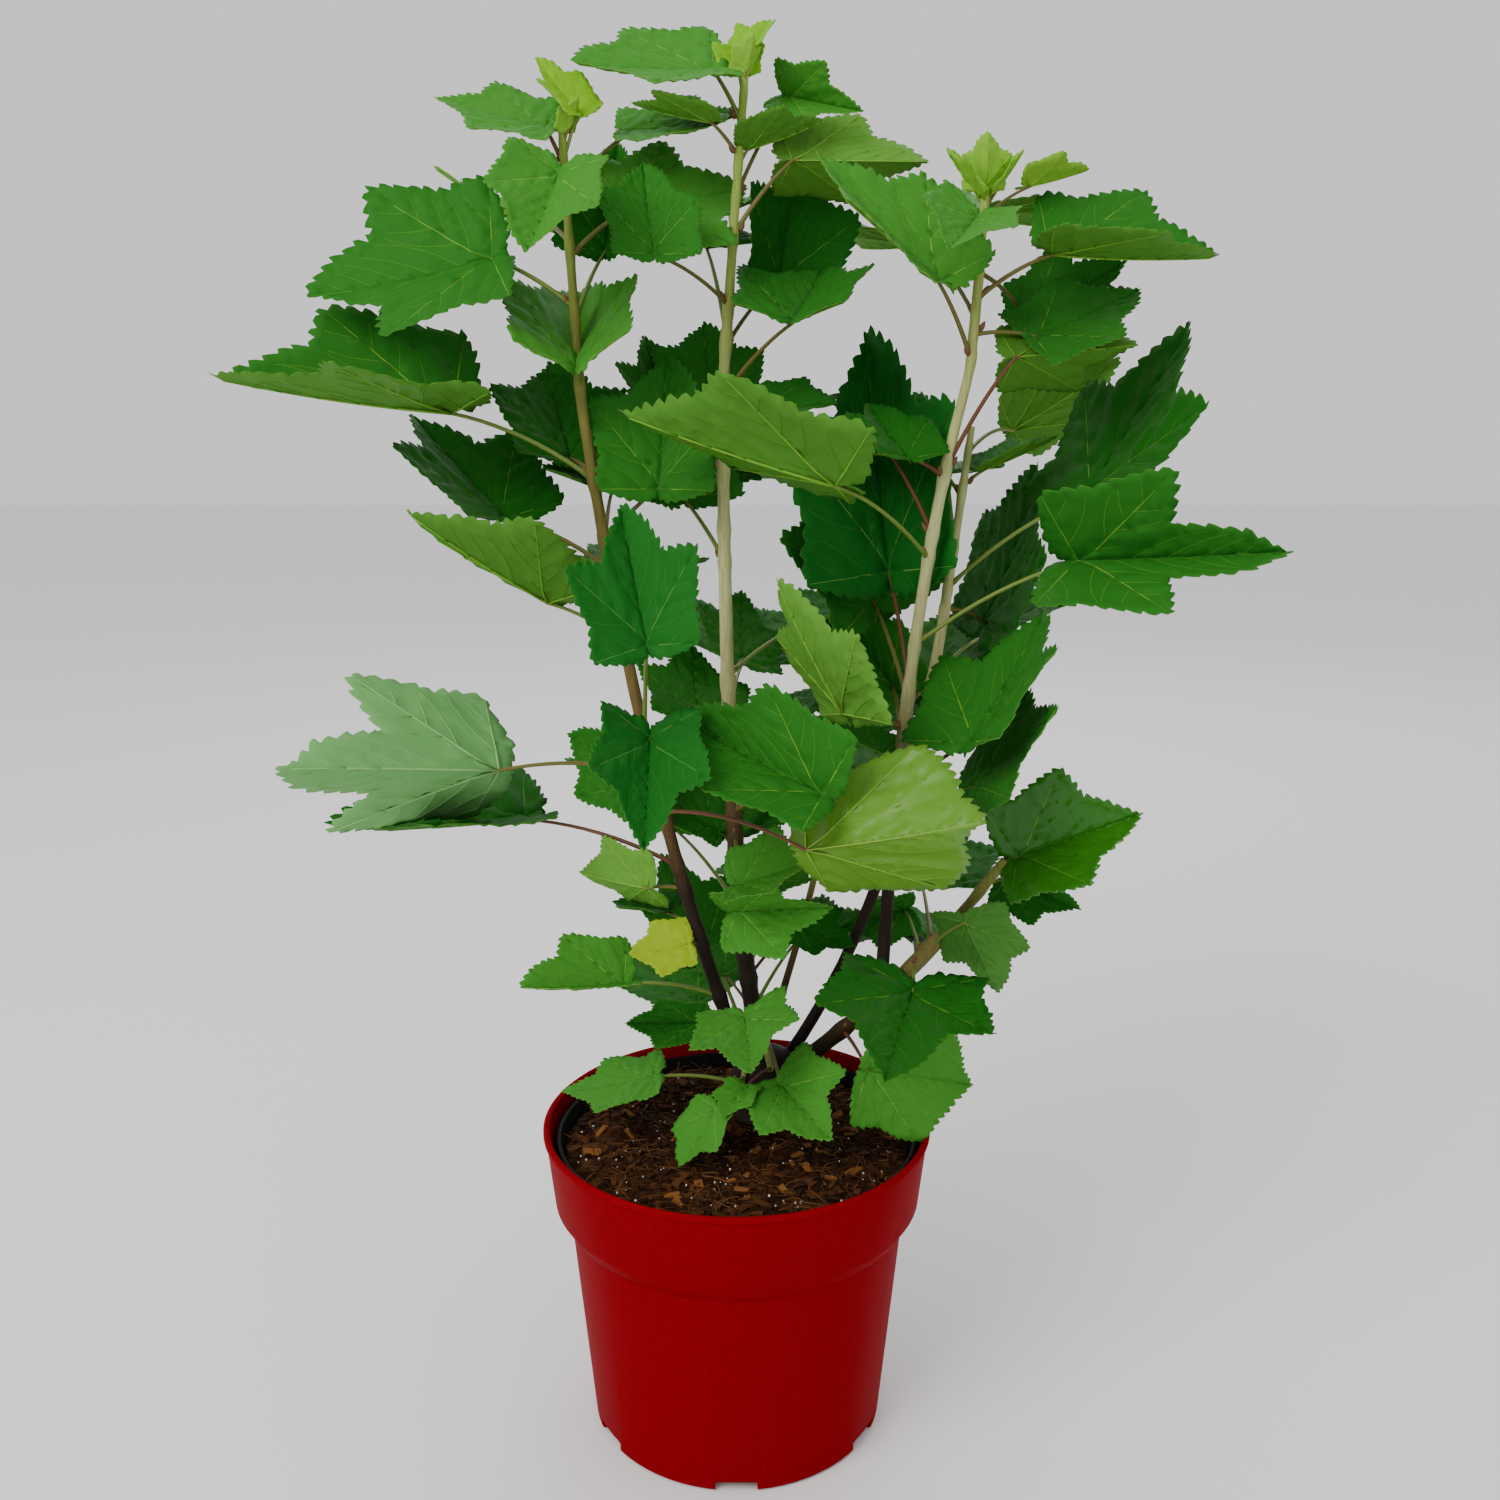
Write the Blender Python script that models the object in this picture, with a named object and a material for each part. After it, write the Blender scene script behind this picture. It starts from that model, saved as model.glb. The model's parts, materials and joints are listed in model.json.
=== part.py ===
"""Potted red currant: a leafy bush of five canes in a red pot, with leaves on long stalks.

Metres, +Z up. The origin is the middle of the pot's flat underside, on the pot's axis.
-Y is the front, which the reference view looks at. Bearings are degrees from +X,
so 0 is the right, 180 the left, -90 the front and 90 the back.
"""

import itertools
import math
import random

import bmesh
import bpy
from mathutils import Matrix, Vector
from mathutils.bvhtree import BVHTree

NAME = "potted_red_currant"
MM = 0.001
GAP = 0.3 * MM

# Red pot: outer radii and heights from the underside up
RIM_R = 95.0 * MM
COLLAR_R = 90.0 * MM
SHOULDER_R = 82.6 * MM
BASE_R = 72.4 * MM
POT_H = 157.0 * MM
COLLAR_Z = 119.0 * MM
SHOULDER_Z = 109.5 * MM
WALL = 1.8 * MM
LIP_OUT = 1.2 * MM
LIP_H = 4.0 * MM
FOOT_ROUND = 1.5 * MM
FLOOR = 2.5 * MM
POT_STEPS = 40

# Drainage under the pot
CHANNEL_IN = 48.0 * MM
CHANNEL_OUT = 60.0 * MM
CHANNEL_H = 5.0 * MM
NOTCH_WIDE = 20.0 * MM
RECESS_WIDE = 40.0 * MM
RECESS_DEEP = 0.8 * MM
RECESS_H = 6.5 * MM
NOTCHES = 6
DRAIN_R = 4.0 * MM

# Black inner pot that holds the soil
LINER_WALL = 1.0 * MM
LINER_CLEAR = 3.0 * MM
LINER_TOP = POT_H - 6.0 * MM
LINER_LIP = 1.0 * MM

# Soil and the foot of the plant
SOIL_TOP = 147.0 * MM
SOIL_EDGE_DROP = 3.0 * MM
SOIL_FLAT_R = 62.0 * MM
CROWN_X = 14.0 * MM
CROWN_Y = 26.0 * MM
CROWN_FOOT_R = 19.0 * MM
CROWN_TOP_R = 14.0 * MM
CROWN_H = 34.0 * MM
CROWN_FLARE_H = 6.0 * MM
CROWN_RINGS = 9

# Limbs and leaves
LIMB_SIDES = 8
LIMB_RINGS = 12
STEM_SIDES = 4
STEM_STEP = 25.0 * MM
LEADER_RINGS = 6
LEADER_BOW = 12.0 * MM
STALK_SIDES = 3
STALK_RINGS = 2
STALK_R = 1.15 * MM
STALK_END_R = 0.8 * MM
STALK_BOW = 0.12
STALK_SUNK = 0.14
SPUR_R = 1.9 * MM
SPUR_END_R = 1.2 * MM
SPUR_STAND_OFF = 3.4 * MM
SPUR_TAIL = 5.0 * MM
LEAF_THICK = 0.016
LEAF_THICK_MIN = 0.8 * MM
LEAF_CUP = 0.08
LEAF_CURL = 0.14
CLEARANCE = 1.0 * MM
SHORT_STALK = 20.0
YOUNG_BLADE = 30.0
SEED = 7479

# Half of a leaf's outline, from its tip to its base: bearing from the midrib in degrees,
# and reach as a share of the blade's length
LEAF_OUTLINE = (
    (0.0, 1.0),
    (13.0, 0.85),
    (27.0, 0.65),
    (46.0, 0.80),
    (72.0, 0.50),
    (100.0, 0.50),
    (138.0, 0.17),
)

# Where the midrib's mesh fans out from, and how far behind the heart the notch lies, as shares
# of the blade's length
FAN_CENTRE = 0.25
HEART_NOTCH = 0.04

# Canes: foot and tip as across, back and up in mm, how early it straightens, radius at foot and tip.
# A foot that names a limb starts on it, at that share of its length.
CANES = {
    "left_cane": ((5, 22, 172), (-67, -8, 500), 1.0, 3.8, 2.6),
    "middle_cane": ((13, 28, 172), (-6, 8, 500), 3.0, 5.2, 2.7),
    "low_right_limb": ((25, 19, 172), (112, -4, 271), 0.5, 4.6, 3.2),
    "right_cane": (("low_right_limb", 0.46), (103, 0, 515), -1.8, 3.4, 2.6),
    "back_right_cane": ((24, 35, 170), (99, 34, 400), 1.6, 3.2, 2.7),
    "back_shoot": ((11, 38, 168), (48, 62, 300), 0.6, 2.3, 1.6),
}

# Leading shoots that go on from a cane's tip: the cane, the shoot's tip and its end radius
LEADERS = {
    "left_top_foliage": ("left_cane", (-72, -12, 612), 1.5),
    "middle_top_foliage": ("middle_cane", (5, 6, 645), 1.4),
    "right_top_foliage": ("right_cane", (107, -2, 591), 1.5),
    "back_right_top_foliage": ("back_right_cane", (110, 36, 490), 1.6),
    "low_right_tip_foliage": ("low_right_limb", (126, -7, 292), 1.9),
    "back_shoot_foliage": ("back_shoot", (54, 76, 372), 1.0),
}

# Side shoots that run up beside a limb: the limb, and the bearing of the side they stand on
SIDE_SHOOTS = {
    "left_upper_foliage": ("left_cane", -80),
    "left_back_foliage": ("left_cane", 100),
    "left_middle_foliage": ("left_cane", -80),
    "left_lower_foliage": ("left_cane", -95),
    "left_lower_back_foliage": ("left_cane", 110),
    "middle_upper_foliage": ("middle_cane", 120),
    "middle_foliage": ("middle_cane", 80),
    "middle_front_foliage": ("middle_cane", -60),
    "middle_lower_foliage": ("middle_cane", -60),
    "middle_lower_back_foliage": ("middle_cane", 90),
    "right_upper_foliage": ("right_cane", -90),
    "right_upper_back_foliage": ("right_cane", 90),
    "right_middle_foliage": ("right_cane", -90),
    "right_middle_back_foliage": ("right_cane", 90),
    "right_lower_foliage": ("right_cane", -60),
    "back_right_foliage": ("back_right_cane", 60),
    "low_right_foliage": ("low_right_limb", -90),
    "low_right_back_foliage": ("low_right_limb", 90),
    "foot_left_foliage": ("root_crown", 232),
    "foot_front_foliage": ("root_crown", -80),
    "foot_back_foliage": ("root_crown", 150),
}

# Leaves of each mass: node height in mm, bearing, length in mm and rise of the stalk,
# then the blade's length in mm, heading, pitch, roll and fold, with the angles in degrees
LEAVES = {
    "left_top_foliage": (
        (597, -175, 18, 65, 46, 180, 10, -30, 10),
        (600, -10, 20, 70, 28, 165, 45, -25, 20),
        (592, -90, 22, 0, 50, -105, -45, -15, 30),
        (606, -40, 7, 60, 14, -40, 60, 0, 20),
        (541, 180, 40, 30, 80, 180, -15, -50, 20),
        (583, 150, 22, 25, 36, 150, 0, -15, 16),
        (586, 40, 44, 40, 50, 0, 5, 25, 10),
        (562, -10, 32, 35, 60, 35, 10, 45, 5),
        (535, 35, 34, 62, 50, 75, 65, 0, 38),
        (508, -90, 16, 25, 72, 95, 25, -5, 40),
    ),
    "left_upper_foliage": (
        (468, 180, 68, 25, 98, -160, 5, -20, 35),
        (428, 170, 54, 25, 70, 145, 35, -5, 20),
        (440, 10, 34, 45, 62, 85, 62, 0, 25),
    ),
    "left_back_foliage": ((470, 130, 18, 20, 62, 110, 38, 0, 20),),
    "left_middle_foliage": (
        (394, -170, 40, 30, 78, -140, 30, 10, 20),
        (350, -85, 74, 45, 60, 125, 70, -30, 35),
        (345, -85, 34, 20, 62, -90, -40, -5, 40),
        (331, -170, 72, 5, 102, -140, 10, 90, 50),
    ),
    "left_lower_foliage": (
        (312, -40, 86, 0, 82, -30, 15, -90, 45),
        (272, 170, 18, 5, 42, 150, 0, 65, 20),
        (243, -170, 7, 20, 28, 190, -10, -50, 16),
        (214, -170, 48, 15, 50, -165, 0, -20, 40),
    ),
    "left_lower_back_foliage": (
        (284, 175, 76, 15, 92, -160, 0, -5, 20),
        (305, 170, 20, 65, 44, 165, 30, -80, 20),
        (250, 150, 16, 20, 32, 150, 0, 0, 20),
    ),
    "middle_top_foliage": (
        (618, 175, 24, 60, 60, -165, -5, -30, 15),
        (628, 110, 12, 60, 22, 90, 60, 0, 20),
        (640, 60, 8, 70, 22, 60, 55, 0, 35),
        (630, -60, 8, 75, 16, -60, 60, 0, 35),
        (604, 140, 22, 45, 38, 165, 10, 0, 20),
        (600, 0, 8, 60, 34, 0, 15, 0, 40),
        (588, 15, 48, 60, 38, -30, -15, 80, 55),
        (572, -5, 40, 50, 60, 5, 0, -80, 55),
        (525, 55, 50, 35, 64, 45, 80, 75, 30),
        (503, -15, 46, 50, 62, 75, 25, 0, 25),
        (540, 40, 50, 25, 40, 40, 40, 0, 20),
        (543, 165, 42, 38, 46, 105, 62, 0, 20),
    ),
    "middle_upper_foliage": (
        (430, 150, 36, 50, 64, 120, 62, 0, 25),
        (470, 170, 30, 40, 46, 130, 50, 0, 20),
        (480, 100, 20, 45, 50, 100, 40, 0, 20),
        (490, 20, 26, 20, 32, 0, 0, 30, 20),
    ),
    "middle_foliage": (
        (372, 80, 32, 10, 46, 95, 35, 25, 5),
        (338, 145, 26, 35, 54, 95, 25, 15, 5),
    ),
    "middle_front_foliage": (
        (310, -30, 46, 20, 76, 155, 20, -55, 45),
        (298, -95, 26, -40, 42, -15, 20, 30, 25),
    ),
    "middle_lower_foliage": (
        (246, -120, 22, 55, 50, -20, 10, 90, 50),
        (268, 40, 12, 30, 30, 40, 10, 30, 20),
    ),
    "middle_lower_back_foliage": (
        (290, 175, 12, 30, 34, 175, 20, -30, 20),
        (222, 30, 34, 35, 32, -20, -15, 30, 15),
    ),
    "right_top_foliage": (
        (520, 170, 36, 65, 76, 160, 40, -20, 25),
        (552, 150, 20, 50, 34, 140, 50, 0, 20),
        (574, -105, 24, -10, 42, -115, -40, -20, 30),
        (582, 172, 6, 60, 24, 165, 50, 0, 30),
        (580, 15, 10, 60, 22, 20, 50, 0, 30),
        (586, -90, 5, 80, 22, -90, 70, 0, 25),
        (578, 10, 24, 34, 27, 5, 12, -20, 25),
        (545, -10, 36, 30, 70, 0, -5, 20, 35),
        (556, 55, 56, -20, 50, -15, 30, 50, 20),
        (530, 35, 38, 0, 54, 15, 20, 30, 5),
    ),
    "right_upper_foliage": (
        (432, -155, 60, 35, 98, 175, 15, 25, 15),
        (472, -10, 56, 60, 54, 5, 5, -90, 55),
    ),
    "right_middle_foliage": (
        (392, -10, 82, 30, 92, -30, 5, 75, 55),
        (352, -145, 40, 20, 68, -165, 60, 15, 10),
    ),
    "right_middle_back_foliage": (
        (372, 110, 56, 65, 114, 105, 70, -25, 50),
        (366, 110, 58, 45, 84, 175, 65, -55, 25),
        (345, 90, 50, 20, 56, 185, 55, -80, 55),
    ),
    "right_upper_back_foliage": ((468, 125, 22, 20, 44, 120, 30, 0, 20),),
    "back_right_top_foliage": (
        (415, -10, 76, 35, 92, 15, 55, 5, 5),
        (404, 55, 48, -15, 82, -5, 70, 20, 5),
        (462, -5, 12, 40, 38, 5, 20, 0, 20),
        (478, 45, 36, 15, 60, -35, 30, -75, 50),
    ),
    "right_lower_foliage": (
        (318, -10, 42, 45, 78, 45, 40, -15, 20),
        (300, -20, 44, 40, 64, -45, 40, 40, 5),
        (330, 165, 16, 40, 38, 160, 20, 0, 20),
        (312, 60, 18, 10, 28, 60, -10, 0, 30),
    ),
    "low_right_tip_foliage": (
        (285, 5, 14, 35, 62, -20, 25, 65, 35),
        (276, 55, 30, -5, 38, -25, -15, 80, 45),
    ),
    "low_right_foliage": (
        (236, -100, 16, -20, 80, -105, -10, -5, 20),
        (198, -70, 30, -10, 56, 20, -15, 95, 20),
        (245, -45, 30, 45, 44, 25, -65, -45, 20),
    ),
    "low_right_back_foliage": ((240, 95, 42, 10, 36, -165, -10, -80, 50),),
    "foot_left_foliage": (
        (168, -170, 46, 10, 46, 180, -15, -5, 5),
        (172, -115, 32, -5, 32, -135, -45, 5, 10),
    ),
    "foot_front_foliage": (
        (202, -110, 34, 20, 50, -85, -10, 15, 20),
        (188, -80, 38, -10, 50, -60, -10, 30, 25),
        (178, -120, 26, 0, 22, -120, -20, 0, 20),
    ),
    "foot_back_foliage": (
        (172, -145, 32, 50, 38, 180, 0, -65, 55),
        (200, 130, 26, 30, 32, 130, 10, 0, 20),
    ),
}

# Leaves that the front ones hide, grown by rule on the far side: the mass, its lowest and
# highest node in mm, and how many
HIDDEN = {
    "left_top_foliage": (515, 585, 2),
    "left_back_foliage": (400, 480, 3),
    "left_lower_back_foliage": (255, 330, 2),
    "middle_top_foliage": (510, 590, 2),
    "middle_upper_foliage": (430, 490, 2),
    "middle_foliage": (330, 385, 3),
    "middle_lower_back_foliage": (225, 290, 3),
    "right_top_foliage": (525, 575, 2),
    "right_upper_back_foliage": (430, 480, 2),
    "right_middle_back_foliage": (345, 400, 2),
    "back_right_foliage": (290, 380, 4),
    "back_right_top_foliage": (420, 470, 2),
    "back_shoot_foliage": (305, 365, 4),
    "low_right_back_foliage": (225, 250, 3),
    "foot_back_foliage": (175, 200, 3),
}
HIDDEN_BEARING = (35.0, 145.0)
HIDDEN_STALK = (26.0, 58.0)
HIDDEN_RISE = (15.0, 45.0)
HIDDEN_BLADE = (48.0, 78.0)
HIDDEN_PITCH = (-10.0, 40.0)
HIDDEN_TURN = (-25.0, 25.0)
HIDDEN_ROLL = (-15.0, 15.0)
HIDDEN_FOLD = 18
HIDDEN_TRIES = 12
HIDDEN_SEEN = 0.12

# Where the photo was taken from: across, back and up in mm
VIEWPOINT = (6, -691, 509)

# A leaf that would touch something tries these moves: mm away from the viewpoint, which keeps
# its place in the photo, and degrees of bearing and rise, the smallest first
SLIDES = (0, 6, -6, 12, -12, 18, -18, 25, -25, 32, -32, 40, -40)
TURNS = (0, 5, -5, 10, -10, 15, -15, 20, -20)
LIFTS = (0, 5, -5, 10, -10, 15, -15)
SLIDE_COST = 0.25
MOST_COST = 30.0

# The space of the whole crown, in mm from the pot's axis and its underside
SPACE_ACROSS = (-232, 252)
SPACE_BACK = (-140, 150)
SPACE_UP = (150, 664)

# Colour, roughness and metallic of each material
FINISHES = {
    "pot_red": ((0.32, 0.004, 0.012), 0.38, 0.0),
    "liner_black": ((0.012, 0.012, 0.012), 0.5, 0.0),
    "soil_brown": ((0.045, 0.02, 0.012), 0.95, 0.0),
    "bark_brown": ((0.12, 0.07, 0.035), 0.75, 0.0),
    "leaf_green": ((0.045, 0.17, 0.02), 0.5, 0.0),
}


def aim(bearing, rise):
    """Unit vector at a bearing from +X and a rise above level, both in degrees."""
    turn = math.radians(bearing)
    lift = math.radians(rise)
    return Vector((math.cos(lift) * math.cos(turn), math.cos(lift) * math.sin(turn), math.sin(lift)))


def in_metres(point):
    """A point given in millimetres."""
    return Vector(point) * MM


def tube(points, radii, sides):
    """Vertices and faces of a closed tube along points, its rings square to the path."""
    verts = []
    faces = []
    side = Vector((1.0, 0.0, 0.0))
    last = len(points) - 1
    for index, (point, radius) in enumerate(zip(points, radii)):
        along = points[min(index + 1, last)] - points[max(index - 1, 0)]
        along.normalize()
        side = side - along * side.dot(along)
        if side.length < 0.1:
            side = along.cross(Vector((0.0, 1.0, 0.0)))
        side.normalize()
        other = along.cross(side)
        for step in range(sides):
            angle = math.tau * step / sides
            verts.append(point + (side * math.cos(angle) + other * math.sin(angle)) * radius)
    for ring in range(last):
        low = ring * sides
        for step in range(sides):
            nxt = (step + 1) % sides
            faces.append((low + step, low + nxt, low + sides + nxt, low + sides + step))
    faces.append(tuple(reversed(range(sides))))
    faces.append(tuple(last * sides + step for step in range(sides)))
    return verts, faces


def lathe(outline, steps):
    """Vertices and faces of a closed outline of (radius, height) turned about the Z axis.

    Outline points at radius 0 stay single. The outline runs round the solid's section.
    """
    verts = []
    rows = []
    for radius, height in outline:
        if radius < 1e-9:
            rows.append([len(verts)] * steps)
            verts.append(Vector((0.0, 0.0, height)))
            continue
        rows.append(list(range(len(verts), len(verts) + steps)))
        for step in range(steps):
            angle = math.tau * step / steps
            verts.append(Vector((radius * math.cos(angle), radius * math.sin(angle), height)))
    faces = []
    for index, row in enumerate(rows):
        above = rows[(index + 1) % len(rows)]
        for step in range(steps):
            nxt = (step + 1) % steps
            corners = (row[step], row[nxt], above[nxt], above[step])
            loop = [corner for place, corner in enumerate(corners) if corner not in corners[:place]]
            if len(loop) > 2:
                faces.append(tuple(loop))
    return verts, faces


def blade_frame(heading, pitch, roll):
    """Midrib, side and top directions of a blade."""
    midrib = aim(heading, pitch)
    top = aim(heading, pitch + 90.0)
    spin = Matrix.Rotation(math.radians(roll), 3, midrib)
    top = spin @ top
    return midrib, top.cross(midrib), top


def blade(heart, frame, length, fold, thick):
    """Vertices and faces of a folded, lobed blade whose midrib starts at heart."""
    midrib, side, top = frame
    bend = math.radians(fold)
    corners = [(-bearing, reach) for bearing, reach in reversed(LEAF_OUTLINE[1:])] + list(LEAF_OUTLINE)
    places = [(FAN_CENTRE, 0.0)]
    for bearing, reach in corners + [(180.0, HEART_NOTCH)]:
        turn = math.radians(bearing)
        places.append((reach * math.cos(turn), reach * math.sin(turn)))
    upper = []
    lower = []
    for along, across in places:
        half = 0.0 if abs(across) < 1e-6 else math.copysign(1.0, across)
        out = abs(across)
        droop = LEAF_CUP * (along * along + out * out) - LEAF_CURL * max(along, 0.0) ** 2
        flat = out * math.cos(bend)
        height = out * math.sin(bend) - droop
        middle = heart + (midrib * along + side * half * flat + top * height) * length
        outward = top * math.cos(bend * abs(half)) - side * half * math.sin(bend)
        upper.append(middle + outward * thick * 0.5)
        lower.append(middle - outward * thick * 0.5)
    count = len(places)
    verts = upper + [lower[0]]
    faces = []
    for step in range(1, count):
        nxt = step % (count - 1) + 1
        faces.append((0, step, nxt))
        faces.append((count, nxt, step))
    return verts, faces


def stalk_points(root, heart, midrib, length, blade_length):
    """The stalk's path: up and over from its stem to the blade, then on along the midrib."""
    crest = (root + heart) * 0.5 + Vector((0.0, 0.0, STALK_BOW * length))
    points = []
    for step in range(STALK_RINGS):
        share = step / STALK_RINGS
        points.append(root * (1 - share) ** 2 + crest * 2 * share * (1 - share) + heart * share**2)
    points.append(heart)
    points.append(heart + midrib * STALK_SUNK * blade_length)
    return points


def stalk_radii():
    """Radii along a stalk, one for each of its points."""
    radii = [STALK_R + (STALK_END_R - STALK_R) * step / STALK_RINGS for step in range(STALK_RINGS + 1)]
    return radii + [STALK_END_R * 0.5]


class Limb:
    """A tapering limb with a path that can be asked for a point at any height."""

    def __init__(self, points, radii):
        self.points = points
        self.radii = radii

    def at_share(self, share):
        """Point and radius at a share of the limb's length, counted in rings."""
        place = min(max(share, 0.0), 1.0) * (len(self.points) - 1)
        index = min(int(place), len(self.points) - 2)
        part = place - index
        point = self.points[index].lerp(self.points[index + 1], part)
        return point, self.radii[index] * (1 - part) + self.radii[index + 1] * part

    def at_height(self, height):
        """Point and radius where the limb passes a height."""
        low = self.points[0].z
        high = self.points[-1].z
        for index in range(len(self.points) - 1):
            here = self.points[index].z
            above = self.points[index + 1].z
            if height <= above or index == len(self.points) - 2:
                part = min(max((height - here) / (above - here), 0.0), 1.0)
                break
        point = self.points[index].lerp(self.points[index + 1], part)
        radius = self.radii[index] * (1 - part) + self.radii[index + 1] * part
        if height > high:
            point = point + Vector((0.0, 0.0, height - high))
        if height < low:
            point = point - Vector((0.0, 0.0, low - height))
        return point, radius

    def solid(self, sides, grow=0.0):
        """The limb's closed tube, thicker by grow."""
        return tube(self.points, [radius + grow for radius in self.radii], sides)


def cane_path(foot, tip, early):
    """Points from foot to tip, gaining height evenly and leaning out early."""
    points = []
    for ring in range(LIMB_RINGS):
        share = ring / (LIMB_RINGS - 1)
        lean = (1.0 - math.exp(-early * share)) / (1.0 - math.exp(-early))
        point = foot.lerp(tip, lean)
        point.z = foot.z + (tip.z - foot.z) * share
        points.append(point)
    return points


def root_crown():
    """The short woody foot, flared at its flat cut on the soil and domed at its top."""
    points = []
    radii = []
    foot = SOIL_TOP + GAP
    for ring in range(CROWN_RINGS):
        share = ring / (CROWN_RINGS - 1)
        height = CROWN_H * math.sin(share * math.pi / 2)
        points.append(Vector((CROWN_X, CROWN_Y, foot + height)))
        flare = (CROWN_FOOT_R - CROWN_TOP_R) * math.exp(-height / CROWN_FLARE_H)
        dome = math.sqrt(max(1.0 - share**6, 0.02))
        radii.append(CROWN_TOP_R * dome + flare)
    return Limb(points, radii)


def grow_limbs():
    """The root crown and every cane, by name."""
    limbs = {"root_crown": root_crown()}
    for name, (foot, tip, early, foot_r, tip_r) in CANES.items():
        start = limbs[foot[0]].at_share(foot[1])[0] if isinstance(foot[0], str) else in_metres(foot)
        points = cane_path(start, in_metres(tip), early)
        shares = [ring / (LIMB_RINGS - 1) for ring in range(LIMB_RINGS)]
        radii = [(foot_r + (tip_r - foot_r) * math.sqrt(share)) * MM for share in shares]
        limbs[name] = Limb(points, radii)
    return limbs


def leader_stem(cane, tip, end_r):
    """A leading shoot that goes on from a cane's tip, one gap clear of it."""
    start = cane.points[-1]
    along = (start - cane.points[-2]).normalized()
    start = start + along * GAP
    tip = in_metres(tip)
    foot_r = cane.radii[-1]
    shares = [ring / LEADER_RINGS for ring in range(LEADER_RINGS + 1)]
    points = [start.lerp(tip, share) + along * share * (1 - share) * LEADER_BOW for share in shares]
    return Limb(points, [foot_r + (end_r * MM - foot_r) * share for share in shares])


def side_stem(limb, bearing, lowest, highest):
    """A side shoot from inside a limb, out of its flank and up beside it."""
    out = aim(bearing, 0.0)
    heights = [lowest, lowest + SPUR_TAIL]
    steps = max(1, round((highest - lowest) / STEM_STEP))
    heights += [lowest + SPUR_TAIL + (highest - lowest) * step / steps for step in range(1, steps + 1)]
    root, _ = limb.at_height(lowest - SPUR_TAIL)
    points = [root]
    for height in heights:
        middle, radius = limb.at_height(height)
        points.append(middle + out * (radius + SPUR_STAND_OFF))
    count = len(points)
    radii = [SPUR_R + (SPUR_END_R - SPUR_R) * index / (count - 1) for index in range(count)]
    return Limb(points, radii)


def grow_stems(limbs):
    """The stem of every mass of foliage, by the mass's name."""
    stems = {}
    for name, (cane, tip, end_r) in LEADERS.items():
        stems[name] = leader_stem(limbs[cane], tip, end_r)
    for name, (limb, bearing) in SIDE_SHOOTS.items():
        nodes = [row[0] for row in LEAVES.get(name, ())]
        if name in HIDDEN:
            nodes += HIDDEN[name][:2]
        stems[name] = side_stem(limbs[limb], bearing, min(nodes) * MM, max(nodes) * MM)
    return stems


def leaf_solids(stem, row, grow=0.0):
    """A leaf's stalk and blade as two closed solids, from one row of the leaf plan."""
    node, bearing, stalk, rise, length, heading, pitch, roll, fold = row
    root, _ = stem.at_height(node * MM)
    heart = root + aim(bearing, rise) * stalk * MM
    frame = blade_frame(heading, pitch, roll)
    length = length * MM
    points = stalk_points(root, heart, frame[0], stalk * MM, length)
    radii = [radius + grow for radius in stalk_radii()]
    thick = max(LEAF_THICK_MIN, LEAF_THICK * length) + 2 * grow
    return tube(points, radii, STALK_SIDES), blade(heart, frame, length, fold, thick)


def turned(row, turn, lift):
    """A row of the leaf plan with its stalk and blade turned and lifted together."""
    node, bearing, stalk, rise, length, heading, pitch, roll, fold = row
    return (node, bearing + turn, stalk, rise + lift, length, heading + turn, pitch + lift, roll, fold)


def slid(stem, row, slide):
    """A row with its blade moved away from the viewpoint and enlarged to look the same from there."""
    node, bearing, stalk, rise, length, *angles = row
    root, _ = stem.at_height(node * MM)
    eye = in_metres(VIEWPOINT)
    sight = root + aim(bearing, rise) * stalk * MM - eye
    growth = 1.0 + slide * MM / sight.length
    out = eye + sight * growth - root
    bearing = math.degrees(math.atan2(out.y, out.x))
    rise = math.degrees(math.asin(out.z / out.length))
    return (node, bearing, out.length / MM, rise, length * growth, *angles)


def all_moves():
    """Every mix of a slide, a turn and a lift, the smallest first."""
    priced = []
    for slide, turn, lift in itertools.product(SLIDES, TURNS, LIFTS):
        price = SLIDE_COST * abs(slide) + abs(turn) + abs(lift)
        if price <= MOST_COST:
            priced.append((price, slide, turn, lift))
    return [move for _, *move in sorted(priced, key=lambda entry: entry[0])]


MOVES = all_moves()


def inside_space(verts):
    """Whether every point keeps to the crown's space."""
    low = in_metres([limits[0] for limits in (SPACE_ACROSS, SPACE_BACK, SPACE_UP)])
    high = in_metres([limits[1] for limits in (SPACE_ACROSS, SPACE_BACK, SPACE_UP)])
    return all(low[axis] <= vert[axis] <= high[axis] for vert in verts for axis in range(3))


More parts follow.
